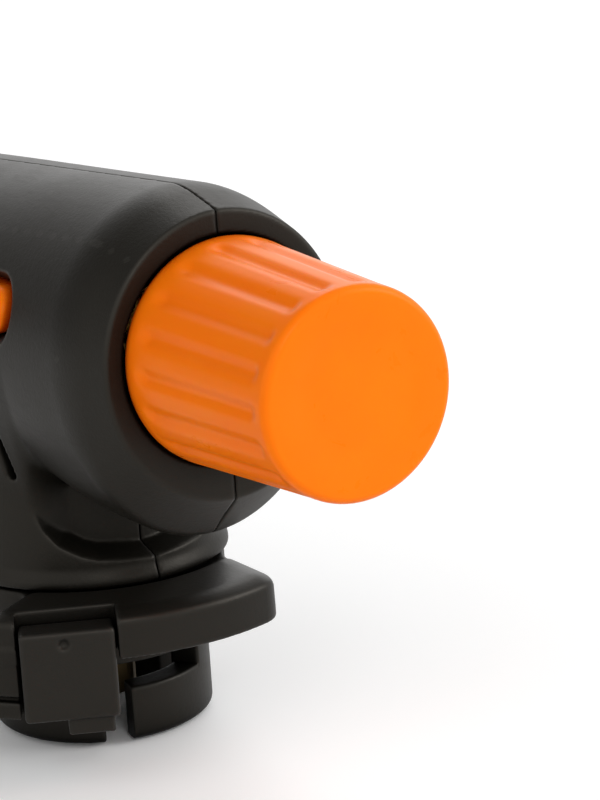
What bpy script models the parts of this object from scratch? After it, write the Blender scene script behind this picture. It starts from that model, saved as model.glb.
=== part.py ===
"""Gas torch head for a bayonet cartridge: barrel housing in two halves, fluted control knob at the
rear, needle valve on the cartridge axis, side ignition button with its piezo unit, and a burner
tube at the front.

Frame: +X forward along the barrel to the flame, +Y to the torch's left, +Z up along the cartridge
axis. The origin is on the plane the bayonet collar stands on, midway along the overall length.
All sizes are in millimetres, with x counted from the cartridge axis; meshes are made in metres.
"""

import math

import bmesh
import bpy
from mathutils import Matrix, Vector

# ------------------------------------------------------------------ shared dimensions
MM = 0.001
GAP = 0.3                 # running and assembly gap between separate pieces

AXIS_H = 45.7             # height of the barrel and knob axis
KNOB_FACE_X = -55.3       # knob's flat end
TIP_X = 114.7             # burner tube's mouth
DATUM_X = -(KNOB_FACE_X + TIP_X) / 2   # puts the origin at mid length

NECK_Z0 = 18.8            # foot of the housing's neck
COLLAR_SEAT_Z = 9.0       # collar's inner floor, where the base screw heads seat
BASE_SCREW_R = 6.4
BASE_SCREWS = [(BASE_SCREW_R * math.cos(math.radians(turn)),
                BASE_SCREW_R * math.sin(math.radians(turn))) for turn in (45, 135, 225, 315)]
HOUSING_SCREWS = ((-21.6, AXIS_H + 9.0), (-20.0, AXIS_H - 12.4),
                  (20.6, AXIS_H + 7.6), (26.0, AXIS_H - 8.2))   # (x, z)
STEM_HOLE_R = 4.0         # way for the inlet stem through housing and base

BUTTON_REAR_X, BUTTON_LENGTH = -14.2, 20.0
BUTTON_FRONT_X = BUTTON_REAR_X + BUTTON_LENGTH
BUTTON_MID_X = (BUTTON_REAR_X + BUTTON_FRONT_X) / 2
BUTTON_Z, BUTTON_HALF_H = AXIS_H + 3.45, 3.1
BARREL_FRONT_X = 42.0
NOSE_OPENING_R = 10.3
SPARK_H = 6.6             # height of the spark electrode above the barrel axis


# ------------------------------------------------------------------ axis lines
# A line is (direction, a point on it); turned pieces are built round one.
def lengthwise(y, z):
    return "X", (0, y, z)


def crosswise(x, z):
    return "Y", (x, 0, z)


def upright(x, y):
    return "Z", (x, y, 0)


BARREL_AXIS = lengthwise(0, AXIS_H)
CARTRIDGE_AXIS = upright(0, 0)


def on_line(line, first, second, along):
    """The point at two offsets from a line, and a coordinate along it."""
    axis, (x, y, z) = line
    if axis == "X":
        return along, y + first, z + second
    if axis == "Y":
        return x + first, along, z + second
    return x + first, y + second, along


# ------------------------------------------------------------------ scene and materials
for item in list(bpy.data.objects):
    bpy.data.objects.remove(item, do_unlink=True)

datum = bpy.data.objects.new("cartridge_axis", None)
datum.location = (DATUM_X * MM, 0, 0)
bpy.context.scene.collection.objects.link(datum)


def material(name, color, roughness, metallic=0.0):
    mat = bpy.data.materials.new(name)
    mat.use_nodes = True
    shader = mat.node_tree.nodes["Principled BSDF"]
    shader.inputs["Base Color"].default_value = (*color, 1)
    shader.inputs["Roughness"].default_value = roughness
    shader.inputs["Metallic"].default_value = metallic
    mat.diffuse_color = (*color, 1)
    return mat


BLACK = material("black_plastic", color=(0.022, 0.021, 0.019), roughness=0.42)
BLACK_GLOSS = material("black_plastic_smooth", color=(0.03, 0.028, 0.026), roughness=0.3)
ORANGE = material("orange_plastic", color=(1.0, 0.22, 0.01), roughness=0.32)
BRASS = material("brass", color=(0.75, 0.52, 0.2), roughness=0.3, metallic=1.0)
STEEL = material("stainless", color=(0.6, 0.59, 0.57), roughness=0.28, metallic=1.0)
ZINC = material("zinc_plate", color=(0.55, 0.56, 0.58), roughness=0.35, metallic=1.0)
RUBBER = material("nitrile_rubber", color=(0.015, 0.015, 0.015), roughness=0.7)
CERAMIC = material("ceramic", color=(0.85, 0.83, 0.78), roughness=0.45)
FIBRE = material("fibre_washer", color=(0.55, 0.5, 0.42), roughness=0.9)
PIEZO = material("piezo_case", color=(0.05, 0.05, 0.055), roughness=0.4)
WHITE = material("white_plastic", color=(0.8, 0.8, 0.76), roughness=0.4)
LEAD = material("lead_insulation", color=(0.6, 0.05, 0.03), roughness=0.5)


# ------------------------------------------------------------------ meshes, as (verts, faces)
def turned_mesh(profile, steps, line, arc=None, phase=0.0):
    """A closed turned solid. The profile is a closed loop of (radius, along); a point at radius 0
    becomes one vertex. With arc=(from, to) in degrees it is a wedge, closed at both ends."""
    full = arc is None
    count = steps if full else steps + 1
    verts, rings = [], []
    for radius, along in profile:
        if radius < 1e-9:
            rings.append([len(verts)] * count)
            verts.append(on_line(line, 0, 0, along))
            continue
        ring = []
        for i in range(count):
            if full:
                turn = phase + 2 * math.pi * i / steps
            else:
                turn = phase + math.radians(arc[0] + (arc[1] - arc[0]) * i / steps)
            ring.append(len(verts))
            verts.append(on_line(line, radius * math.cos(turn), radius * math.sin(turn), along))
        rings.append(ring)
    faces = []
    for ring, after in zip(rings, rings[1:] + rings[:1]):
        if ring[0] == ring[-1] and after[0] == after[-1]:
            continue                        # this side of the profile lies on the axis
        for i in range(count if full else count - 1):
            j = (i + 1) % count
            face = list(dict.fromkeys((ring[i], ring[j], after[j], after[i])))
            if len(face) > 2:
                faces.append(face)
    if not full:
        faces.append([ring[0] for ring in rings])
        faces.append([ring[-1] for ring in rings])
    return verts, faces


def rod(radius, start, end, line, steps=20, phase=0.0):
    """A plain cylinder."""
    profile = [(0, start), (radius, start), (radius, end), (0, end)]
    return turned_mesh(profile, steps, line, phase=phase)


def box_mesh(low, high):
    verts = [(x, y, z) for x in (low[0], high[0]) for y in (low[1], high[1])
             for z in (low[2], high[2])]
    faces = [(0, 1, 3, 2), (4, 6, 7, 5), (0, 4, 5, 1), (2, 3, 7, 6), (0, 2, 6, 4), (1, 5, 7, 3)]
    return verts, faces


def loft_mesh(sections):
    """A closed skin through rings of equal length, with flat ends."""
    count = len(sections[0])
    verts = [point for ring in sections for point in ring]
    faces = [list(range(count)), list(range(len(verts) - count, len(verts)))]
    for start in range(0, len(verts) - count, count):
        for i in range(count):
            j = (i + 1) % count
            faces.append((start + i, start + j, start + count + j, start + count + i))
    return verts, faces


def sweep_mesh(path, radius, sides):
    """A round bar along a path of points, by carrying a frame along it without twist."""
    points = [Vector(point) for point in path]
    last = len(points) - 1
    tangents = [(points[min(i + 1, last)] - points[max(i - 1, 0)]).normalized()
                for i in range(len(points))]
    side = tangents[0].orthogonal().normalized()
    rings = []
    for point, tangent in zip(points, tangents):
        side = (side - tangent * side.dot(tangent)).normalized()
        up = tangent.cross(side)
        turns = [2 * math.pi * k / sides for k in range(sides)]
        rings.append([tuple(point + (side * math.cos(turn) + up * math.sin(turn)) * radius)
                      for turn in turns])
    return loft_mesh(rings)


def torus_mesh(ring_r, cord_r, line, along, steps=14, sides=6):
    verts, faces = [], []
    for i in range(steps):
        turn = 2 * math.pi * i / steps
        for k in range(sides):
            roll = 2 * math.pi * k / sides
            radius = ring_r + cord_r * math.cos(roll)
            verts.append(on_line(line, radius * math.cos(turn), radius * math.sin(turn),
                                 along + cord_r * math.sin(roll)))
    for i in range(steps):
        here, after = i * sides, (i + 1) % steps * sides
        for k in range(sides):
            j = (k + 1) % sides
            faces.append((here + k, after + k, after + j, here + j))
    return verts, faces


# ------------------------------------------------------------------ objects
def finish(name, mesh_data, mat, origin=(0, 0, 0), smooth=35.0):
    """An object from a mesh in millimetres, with its origin at the given point.
    smooth is the largest angle shaded smooth, in degrees; 0 leaves it flat."""
    verts, faces = mesh_data
    mesh = bpy.data.meshes.new(name)
    mesh.from_pydata([tuple((value - start) * MM for value, start in zip(vert, origin))
                      for vert in verts], [], faces)
    work = bmesh.new()
    work.from_mesh(mesh)
    bmesh.ops.recalc_face_normals(work, faces=work.faces)
    if work.calc_volume(signed=True) < 0:
        bmesh.ops.reverse_faces(work, faces=work.faces)
    work.to_mesh(mesh)
    work.free()
    if smooth:
        mesh.shade_smooth()
        mesh.set_sharp_from_angle(angle=math.radians(smooth))
    obj = bpy.data.objects.new(name, mesh)
    obj.location = tuple(value * MM for value in origin)
    obj.parent = datum
    if mat:
        mesh.materials.append(mat)
    bpy.context.scene.collection.objects.link(obj)
    return obj


def turned(name, profile, mat, steps, line, origin=(0, 0, 0), arc=None, smooth=35.0):
    return finish(name, turned_mesh(profile, steps, line, arc), mat, origin, smooth)


def chamfer_edges(obj, width):
    bevel = obj.modifiers.new("edges", "BEVEL")
    bevel.width = width * MM
    bevel.segments = 1


def combine(obj, operation, name, mesh_data):
    """A Boolean with a helper solid that is never rendered; returns the helper."""
    helper = finish("tool_" + name, mesh_data, None)
    helper.hide_render = True
    helper.display_type = "WIRE"
    boolean = obj.modifiers.new(helper.name, "BOOLEAN")
    boolean.operation = operation
    boolean.object = helper
    boolean.solver = "EXACT"
    return helper


def cut(obj, name, mesh_data):
    return combine(obj, "DIFFERENCE", name, mesh_data)


def add(obj, name, mesh_data):
    return combine(obj, "UNION", name, mesh_data)


def ease(x, start, end):
    """0 before start, 1 after end, and a smooth step between."""
    part = min(max((x - start) / (end - start), 0.0), 1.0)
    return part * part * (3 - 2 * part)


# ------------------------------------------------------------------ housing shape
WALL = 1.8
SEAM = 0.15               # half of the parting gap between the housing halves
# The end ring round the knob and the foot of the cone: x, half width, half height, and the
# section's middle above the barrel axis.
RING_X, RING_W, RING_H, RING_ZC = -31.6, 13.4, 14.4, -0.57
CONE_X, CONE_W, CONE_H, CONE_ZC = -26.3, 14.9, 17.55, -2.4
REAR_STATIONS = (         # the same columns
    (RING_X, RING_W - 0.35, RING_H - 0.35, RING_ZC),
    (RING_X + 0.12, RING_W - 0.1, RING_H - 0.1, RING_ZC),
    (RING_X + 0.45, RING_W + 0.1, RING_H + 0.25, RING_ZC - 0.05),
    (CONE_X - 0.5, CONE_W - 0.12, CONE_H - 0.32, CONE_ZC + 0.05),
    (CONE_X + 0.35, CONE_W + 0.03, CONE_H + 0.1, CONE_ZC + 0.1),
)
BORE_REAR_STATIONS = (
    (RING_X + WALL + 0.2, 12.6, 13.6, RING_ZC),
    (CONE_X, CONE_W - WALL, CONE_H - WALL, CONE_ZC),
)
BARREL_STATIONS_X = (-24.2, -15.0, -6.0, 3.0, 12.0, 20.0, 30.0, 41.2)
BORE_STATIONS_X = (-23.0, -9.0, 5.0, 19.0, BARREL_FRONT_X - WALL)
OUTER_STEPS, BORE_STEPS = 36, 28
FRONT_INSET = 0.7         # softening of the barrel's front edge

TOP, TOP_SLOPE, TOP_X0, TOP_X1 = 15.4, 0.07, -24.0, 19.0    # crown falls forward to TOP_X1
TOP_SWELL, TOP_SWELL_X1 = 0.55, 31.0                        # then rises again
BOTTOM, BOTTOM_RISE, BOTTOM_X0, BOTTOM_X1 = -19.9, 6.6, -22.0, 18.0
HALF_WIDTH = 15.0
NARROWINGS = ((0.7, -20.0, 18.0), (1.1, 14.0, 44.0))        # (amount, from x, to x)


def barrel_size(x):
    """Half width, top and bottom of the barrel's oval, the heights counted from the barrel axis."""
    top = TOP - TOP_SLOPE * (min(x, TOP_X1) - TOP_X0) + TOP_SWELL * ease(x, TOP_X1, TOP_SWELL_X1)
    bottom = BOTTOM + BOTTOM_RISE * ease(x, BOTTOM_X0, BOTTOM_X1)
    width = HALF_WIDTH
    for amount, start, end in NARROWINGS:
        width -= amount * ease(x, start, end)
    return width, top, bottom


def oval(x, width, half_h, middle, count):
    turns = [2 * math.pi * i / count for i in range(count)]
    return [(x, width * math.cos(turn), AXIS_H + middle + half_h * math.sin(turn))
            for turn in turns]


def barrel_ring(x, inset, count):
    width, top, bottom = barrel_size(x)
    return oval(x, width - inset, (top - bottom) / 2 - inset, (top + bottom) / 2, count)


def outer_skin():
    rings = [oval(*station, OUTER_STEPS) for station in REAR_STATIONS]
    rings += [barrel_ring(x, 0.0, OUTER_STEPS) for x in BARREL_STATIONS_X]
    rings.append(barrel_ring(BARREL_FRONT_X, FRONT_INSET, OUTER_STEPS))
    return loft_mesh(rings)


def barrel_bore():
    rings = [oval(*station, BORE_STEPS) for station in BORE_REAR_STATIONS]
    rings += [barrel_ring(x, WALL, BORE_STEPS) for x in BORE_STATIONS_X]
    return loft_mesh(rings)


def skin_y(x, z):
    """How far the barrel's skin stands from the parting plane at this height."""
    width, top, bottom = barrel_size(x)
    part = (z - AXIS_H - (top + bottom) / 2) / ((top - bottom) / 2)
    return width * math.sqrt(max(0.0, 1 - part * part))


BOSS_R = 2.9
HEAD_SINK = 2.6           # depth of a housing screw's seat below the skin


def skin_over_boss(x, z):
    """The lesser reach of the skin at the top and bottom of a screw boss."""
    return min(skin_y(x, z + BOSS_R), skin_y(x, z - BOSS_R))


def screw_seat(x, z):
    """Depth of a head's seat on the right side, so that the whole head sits below the skin."""
    return -(skin_over_boss(x, z) - HEAD_SINK)


NECK_R = 14.1
NECK_TOP = AXIS_H - 4
NECK_PROFILE = [(0, NECK_Z0), (NECK_R + 0.3, NECK_Z0), (NECK_R + 0.3, NECK_Z0 + 0.5),
                (NECK_R, NECK_Z0 + 1.0), (NECK_R, NECK_TOP), (0, NECK_TOP)]
SCOOP_OUT_R = 15.4        # outside the neck, where the scoop's tool ends
SCOOP_STATIONS = (        # degrees round from the rear, depth, low z, high z
    (-60, -0.25, 27.6, 28.8), (-46, 1.5, 23.6, 29.0), (-26, 2.3, 21.3, 27.4),
    (-8, 2.4, 20.7, 26.3), (8, 2.4, 20.7, 26.3),
    (26, 2.3, 21.3, 27.4), (46, 1.5, 23.6, 29.0), (60, -0.25, 27.6, 28.8),
)


def neck_scoop():
    """A crescent hollow round the rear of the neck, above its foot and below the barrel."""
    sections = []
    for angle, depth, low, high in SCOOP_STATIONS:
        back, left = -math.cos(math.radians(angle)), math.sin(math.radians(angle))
        mid, half = (low + high) / 2, (high - low) / 2
        ring = [(SCOOP_OUT_R, mid - half), (NECK_R - depth * 0.6, mid - half * 0.75),
                (NECK_R - depth, mid - half * 0.2), (NECK_R - depth * 0.95, mid + half * 0.5),
                (SCOOP_OUT_R, mid + half)]
        sections.append([(radius * back, radius * left, z) for radius, z in ring])
    return loft_mesh(sections)


def button_prism(margin, levels, steps=8):
    """A round-ended prism along Y, larger than the button by margin, through (y, growth) levels."""
    half = BUTTON_HALF_H + margin
    ends = ((BUTTON_REAR_X - margin + half, math.pi / 2),
            (BUTTON_FRONT_X + margin - half, -math.pi / 2))   # (arc's centre, first angle)
    rings = []
    for y, growth in levels:
        radius = half + growth
        ring = []
        for centre_x, first in ends:
            for i in range(steps + 1):
                turn = first + math.pi * i / steps
                ring.append((centre_x + radius * math.cos(turn), y,
                             BUTTON_Z + radius * math.sin(turn)))
        rings.append(ring)
    return loft_mesh(rings)


# ------------------------------------------------------------------ housing halves
NECK_BORE_R = 10.2
KNOB_OPENING_R = 11.5
POST_R, POST_TOP = 2.5, 29.5              # posts that take the base screws
STEM_HOLE_TOP = 30.6
PILOT_R, CLEARANCE_R, COUNTERBORE_R = 1.5, 1.6, 3.1
PILOT_DEPTH, BASE_PILOT_TOP = 7.0, 28.0
CRADLES = ((-15.5, 1.7), (10.0, 2.2))     # (x, top edge below the barrel axis)
CRADLE_HALF_T, CRADLE_DROP = 0.8, 11.5
VENTS_X = (-7.2, -2.7, 1.8, 6.3)
VENT_Z0, VENT_Z1, VENT_W = 30.2, 40.6, 1.05
VENT_INNER_Y = 6.3
OUTSIDE_Y = 20.0                          # beyond the skin on either side


def housing_bosses(obj, name, side):
    for k, (x, z) in enumerate(HOUSING_SCREWS):
        reach = skin_over_boss(x, z) - 0.5
        add(obj, f"{name}_boss{k}",
            rod(BOSS_R, *sorted((side * SEAM, side * reach)), crosswise(x, z), 12))
    for k, (x, y) in enumerate(BASE_SCREWS):
        if y * side > 0:
            add(obj, f"{name}_post{k}", rod(POST_R, NECK_Z0 + 1.0, POST_TOP, upright(x, y), 12))
    for k, (x, top) in enumerate(CRADLES):
        y0, y1 = sorted((side * SEAM, side * (skin_y(x, AXIS_H - 8) - 1.0)))
        add(obj, f"{name}_cradle{k}", box_mesh((x - CRADLE_HALF_T, y0, AXIS_H - CRADLE_DROP),
                                               (x + CRADLE_HALF_T, y1, AXIS_H - top)))


def housing_openings(obj, name):
    for feature, mesh_data in (
            ("valve_clearance", rod(5.5, -19.5, 7.0, BARREL_AXIS, 20)),
            ("tube_clearance", rod(1.85, 6.0, 12.0, BARREL_AXIS, 12)),
            ("knob_opening",
             rod(KNOB_OPENING_R, RING_X - 1, RING_X + WALL + 1, BARREL_AXIS, 36)),
            ("nose_opening", rod(NOSE_OPENING_R, BARREL_FRONT_X - WALL - 1,
                                 BARREL_FRONT_X + 1, BARREL_AXIS, 28)),
            ("stem_hole", rod(STEM_HOLE_R, NECK_Z0 - 1, STEM_HOLE_TOP, CARTRIDGE_AXIS, 18)),
            ("scoop", neck_scoop())):
        cut(obj, f"{name}_{feature}", mesh_data)


def housing_screw_holes(obj, name, side):
    for k, (x, z) in enumerate(HOUSING_SCREWS):
        line = crosswise(x, z)
        if side > 0:
            cut(obj, f"{name}_pilot{k}", rod(PILOT_R, -1.0, PILOT_DEPTH, line, 10))
        else:
            cut(obj, f"{name}_clear{k}", rod(CLEARANCE_R, -OUTSIDE_Y, 1.0, line, 10))
            cut(obj, f"{name}_counterbore{k}",
                rod(COUNTERBORE_R, -OUTSIDE_Y, screw_seat(x, z), line, 16))
    for k, (x, y) in enumerate(BASE_SCREWS):
        if y * side > 0:
            cut(obj, f"{name}_base_pilot{k}",
                rod(PILOT_R, NECK_Z0 - 1, BASE_PILOT_TOP, upright(x, y), 8))


def button_opening_and_vents(obj, name):
    cut(obj, f"{name}_button_opening", button_prism(0.4, ((6.0, 0.0), (OUTSIDE_Y, 0.0))))
    cut(obj, f"{name}_button_rim", button_prism(0.2, ((12.9, 0.0), (15.6, 1.9)), 7))
    for k, x in enumerate(VENTS_X):
        cut(obj, f"{name}_vent{k}", box_mesh((x - VENT_W / 2, VENT_INNER_Y, VENT_Z0),
                                             (x + VENT_W / 2, OUTSIDE_Y, VENT_Z1)))


def housing_half(name, side):
    """Side +1 is the left half, with the button and the screws' pilot holes; -1 is the right half,
    with the screw heads."""
    obj = finish(name, outer_skin(), BLACK)
    add(obj, f"{name}_neck", turned_mesh(NECK_PROFILE, 36, CARTRIDGE_AXIS))
    if side > 0:
        away = box_mesh((-60, -40, 0), (60, SEAM, 80))
    else:
        away = box_mesh((-60, -SEAM, 0), (60, 40, 80))
    cut(obj, f"{name}_other_side", away)
    cut(obj, f"{name}_barrel_bore", barrel_bore())
    cut(obj, f"{name}_neck_bore",
        rod(NECK_BORE_R, NECK_Z0 + 2.2, AXIS_H - 5, CARTRIDGE_AXIS, 28))
    housing_bosses(obj, name, side)
    housing_openings(obj, name)
    housing_screw_holes(obj, name, side)
    if side > 0:
        button_opening_and_vents(obj, name)


# ------------------------------------------------------------------ fasteners
TAPER_LENGTH = 1.4        # pointed end of the shank
RECESS_HALF_W = 0.32      # of each arm of the cross recess


def screw(name, head_r, head_h, shank_r, head_at, tip_at, line):
    """A pan-head self-tapping screw with a cross recess, its head at the lower end of the line.
    head_at is the plane under the head."""
    top = head_at - head_h
    profile = [(0, tip_at), (shank_r * 0.45, tip_at), (shank_r, tip_at - TAPER_LENGTH),
               (shank_r, head_at), (head_r, head_at), (head_r, head_at - head_h * 0.45),
               (head_r * 0.72, top), (0, top)]
    obj = turned(name, profile, ZINC, 12, line)
    arm, depth = head_r * 0.56, head_h * 0.55
    for k, (first, second) in enumerate(((arm, RECESS_HALF_W), (RECESS_HALF_W, arm))):
        cut(obj, f"{name}_recess{k}", box_mesh(on_line(line, -first, -second, top - 1.0),
                                               on_line(line, first, second, top + depth)))


def fasteners():
    for k, (x, z) in enumerate(HOUSING_SCREWS):
        screw(f"housing_screw_{k + 1}", head_r=2.7, head_h=1.9, shank_r=1.2,
              head_at=screw_seat(x, z) - GAP, tip_at=6.2, line=crosswise(x, z))
    for k, (x, y) in enumerate(BASE_SCREWS):
        screw(f"base_screw_{k + 1}", head_r=1.75, head_h=1.5, shank_r=1.15,
              head_at=COLLAR_SEAT_Z - GAP, tip_at=27.0, line=upright(x, y))


# ------------------------------------------------------------------ base flange
# Angles in the base are in degrees round from the rear (-X) towards the left (+Y).
FLANGE_R, FLANGE_TOP_R = 24.0, 22.3
HUB_R = 14.0              # plate radius in the bites between its rear and front tabs
TAB_SIDE_Y = 10.3         # the rear tab's straight right side, from the parting plane
TAB_END, TAB_BLEND = 60.0, 5.0            # end of the rear tab, and the blend into the bite
CORNER_POWER = 14         # sharpness of the corner between rim and straight side
FLANGE_Z0, FLANGE_EDGE_Z, FLANGE_Z1 = 13.6, 17.7, 18.5
SKIRT_Z0, SKIRT_TOP = 7.6, FLANGE_Z0 + 1.5
SKIRT_INNER_R = 21.4
SKIRT_FROM, SKIRT_TO = 47.5, 60.0
GROOVE_R, GROOVE_Z0, GROOVE_Z1 = FLANGE_R - 0.7, 9.3, 9.9
BASE_SCREW_HOLE_R = 1.5
PLATE_ANGLES = (
    *range(-180, -120, 8),
    -120, -118.5, -116.5, -115, -98, -80, -62, -50, -44, -41, -37, -33, -30, -28, -26, -24.5,
    -23, -21, -18, -14,
    *(-8 + 7.5 * i for i in range(9)),
    60, 61.5, 63.5, 65, 82, 98, 115, 116.5, 118.5, 120,
    *range(128, 180, 8),
)


def arc_between(start, end):
    """An arc of base angles for turned_mesh, which counts from +X towards +Y."""
    return 180.0 - end, 180.0 - start


def plate_radius(angle, rim):
    """Plan radius of the plate at an angle: two tabs with bites between them."""
    if angle >= 0 or angle <= -90.0:
        from_side = abs(abs(angle) - 90.0)
        edge = 90.0 - TAB_END
        return HUB_R + (rim - HUB_R) * ease(from_side, edge - TAB_BLEND, edge)
    side = (TAB_SIDE_Y - (FLANGE_R - rim)) / max(math.sin(math.radians(-angle)), 1e-6)
    corner = (rim ** -CORNER_POWER + max(side, 1.0) ** -CORNER_POWER) ** (-1 / CORNER_POWER)
    return max(HUB_R, corner)


def plate_ring(rim, z):
    ring = []
    for angle in PLATE_ANGLES:
        radius, turn = plate_radius(angle, rim), math.radians(angle)
        ring.append((-radius * math.cos(turn), radius * math.sin(turn), z))
    return ring


KEY_TURN = 26.0           # the way the key faces
KEY_SHIFT, KEY_HALF = 3.8, 4.8            # middle and half width along its face
KEY_FACE_R = 24.4
KEY_Z0, KEY_Z1 = 7.8, 17.2
DIMPLE_R, DIMPLE_SHIFT, DIMPLE_DEPTH, DIMPLE_Z = 0.75, 0.35, 0.35, 15.9
DIMPLE_TOOL_Z0, DIMPLE_TOOL_Z1 = 15.0, 17.0
# Outwards through the key, and along its face towards the left and front
KEY_OUT = Vector((-math.cos(math.radians(KEY_TURN)), math.sin(math.radians(KEY_TURN)), 0))
KEY_ALONG = Vector((math.sin(math.radians(KEY_TURN)), math.cos(math.radians(KEY_TURN)), 0))


def key_box(out0, out1, along0, along1, z0, z1):
    verts, faces = box_mesh((out0, along0 + KEY_SHIFT, z0), (out1, along1 + KEY_SHIFT, z1))
    return [tuple(KEY_OUT * out + KEY_ALONG * along + Vector((0, 0, z)))
            for out, along, z in verts], faces


def base_flange():
    flange = finish("base_flange", loft_mesh([
        plate_ring(FLANGE_R, FLANGE_Z0), plate_ring(FLANGE_R, FLANGE_EDGE_Z),
        plate_ring(FLANGE_TOP_R, FLANGE_Z1)]), BLACK_GLOSS)
    cut(flange, "flange_bore",
        rod(STEM_HOLE_R, FLANGE_Z0 - 1.0, NECK_Z0 + 1.0, CARTRIDGE_AXIS, 18))
    add(flange, "skirt", turned_mesh(
        [(SKIRT_INNER_R, SKIRT_Z0), (FLANGE_R - 0.2, SKIRT_Z0), (FLANGE_R, SKIRT_Z0 + 0.2),
         (FLANGE_R, SKIRT_TOP), (SKIRT_INNER_R, SKIRT_TOP)],
        16, CARTRIDGE_AXIS, arc_between(SKIRT_FROM, SKIRT_TO)))
    cut(flange, "skirt_groove", turned_mesh(
        [(GROOVE_R, GROOVE_Z0), (FLANGE_R + 2, GROOVE_Z0),
         (FLANGE_R + 2, GROOVE_Z1), (GROOVE_R, GROOVE_Z1)],
        16, CARTRIDGE_AXIS, arc_between(SKIRT_FROM - 3, SKIRT_TO + 3)))
    cut(flange, "key_notch", key_box(20.5, 30.0, -KEY_HALF - GAP, KEY_HALF + GAP, 5.0, 30.0))
    cut(flange, "key_socket", key_box(16.7, 21.0, -2.3, 2.3, 14.3, 17.3))
    for k, (x, y) in enumerate(BASE_SCREWS):
        cut(flange, f"flange_screw_hole{k}",
            rod(BASE_SCREW_HOLE_R, 10.0, 25.0, upright(x, y), 12))


def alignment_key():
    key = finish("alignment_key", key_box(20.8, KEY_FACE_R, -KEY_HALF, KEY_HALF, KEY_Z0, KEY_Z1),
                 BLACK, smooth=0)
    chamfer_edges(key, 0.45)
    add(key, "key_tongue", key_box(17.0, 21.6, -2.0, 2.0, 14.6, 17.0))
    add(key, "key_lug", key_box(21.6, 23.9, -KEY_HALF + 0.6, -KEY_HALF + 5.3, 6.1, KEY_Z0 + 1.0))
    # A round dimple in the face: an upright rod, laid to point outwards from the dimple's floor
    dimple = cut(key, "key_dimple",
                 rod(DIMPLE_R, DIMPLE_TOOL_Z0, DIMPLE_TOOL_Z1, CARTRIDGE_AXIS, 12))
    on_face = KEY_OUT * KEY_FACE_R + KEY_ALONG * (KEY_SHIFT + DIMPLE_SHIFT)
    floor = on_face - KEY_OUT * DIMPLE_DEPTH + Vector((0, 0, DIMPLE_Z))
    dimple.matrix_basis = (Matrix.Translation(floor * MM)
                           @ KEY_OUT.to_track_quat("Z", "Y").to_matrix().to_4x4()
                           @ Matrix.Translation(Vector((0, 0, -DIMPLE_TOOL_Z0)) * MM))


# ------------------------------------------------------------------ bayonet collar
COLLAR_R, COLLAR_BORE_R, COLLAR_TOP = 11.65, 8.6, FLANGE_Z0 - GAP
SLOTS = 3
SLOT_R0, SLOT_R1 = 8.0, 14.0              # the slot tools span the collar's wall
SLOT_Z0, SLOT_Z1 = 6.1, 8.8
SLOT_FROM, SLOT_TO = -34.0, 28.0
ENTRY_FROM, ENTRY_TO = 13.0, SLOT_TO - 0.01   # kept off the slot's end, so no faces coincide
COLLAR_PROFILE = [
    (COLLAR_BORE_R, 0.0), (10.7, 0.0), (11.3, 0.5), (COLLAR_R, 1.4), (COLLAR_R, COLLAR_TOP),
    (STEM_HOLE_R, COLLAR_TOP), (STEM_HOLE_R, COLLAR_SEAT_Z), (COLLAR_BORE_R, COLLAR_SEAT_Z)]


def slot_wedge(z0, z1, start, end, steps):
    profile = [(SLOT_R0, z0), (SLOT_R1, z0), (SLOT_R1, z1), (SLOT_R0, z1)]
    return turned_mesh(profile, steps, CARTRIDGE_AXIS, arc_between(start, end))


def bayonet_collar():
    collar = turned("bayonet_collar", COLLAR_PROFILE, BLACK_GLOSS, 36, CARTRIDGE_AXIS)
    for k in range(SLOTS):
        shift = 360.0 / SLOTS * k
        cut(collar, f"bayonet_slot{k}",
            slot_wedge(SLOT_Z0, SLOT_Z1, SLOT_FROM + shift, SLOT_TO + shift, 10))
        cut(collar, f"bayonet_entry{k}",
            slot_wedge(-1, SLOT_Z0 + 1, ENTRY_FROM + shift, ENTRY_TO + shift, 4))
    for k, (x, y) in enumerate(BASE_SCREWS):
        cut(collar, f"collar_screw_hole{k}",
            rod(BASE_SCREW_HOLE_R, 7.0, 15.0, upright(x, y), 12))


# ------------------------------------------------------------------ gas inlet and valve
STEM_TOP = AXIS_H - 6.0
STEM_PROFILE = [
    (2.1, 2.6), (3.3, 2.6), (3.6, 3.0), (3.6, 31.0), (3.0, 31.0), (3.0, STEM_TOP),
    (0.9, STEM_TOP), (0.9, 11.0), (2.1, 11.0)]
STEM_SEAL_PROFILE = [(3.35, 31.35), (4.3, 31.35), (4.3, 32.6), (3.35, 32.6)]
VALVE_PROFILE = [
    (2.7, -19.0), (4.6, -19.0), (5.2, -18.4), (5.2, 5.9), (4.6, 6.5), (1.85, 6.5), (1.85, 2.6),
    (0.9, 2.6), (0.9, -4.0), (2.7, -6.2)]
GLAND_NUT_PROFILE = [(2.0, -22.4), (4.0, -22.4), (4.6, -21.9), (4.6, -19.3), (2.0, -19.3)]
GAS_TUBE_PROFILE = [(0.9, 2.95), (1.5, 2.95), (1.5, 41.2), (0.9, 41.2)]
JET_HOLDER_PROFILE = [
    (1.85, 33.0), (3.0, 33.0), (3.4, 33.4), (3.4, 46.0), (1.3, 46.0), (1.3, 44.6), (0.8, 44.6),
    (0.8, 41.6), (1.85, 41.6)]
JET_NOZZLE_PROFILE = [
    (0.4, 44.9), (1.0, 44.9), (1.0, 46.3), (2.2, 46.3), (2.2, 48.0), (1.2, 49.6), (0.15, 49.6),
    (0.15, 48.8), (0.4, 48.4)]


def gas_inlet():
    turned("inlet_stem", STEM_PROFILE, BRASS, 18, CARTRIDGE_AXIS)
    finish("inlet_seal", torus_mesh(1.3, 0.45, CARTRIDGE_AXIS, 9.9), RUBBER)
    turned("stem_seal", STEM_SEAL_PROFILE, RUBBER, 18, CARTRIDGE_AXIS)


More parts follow.
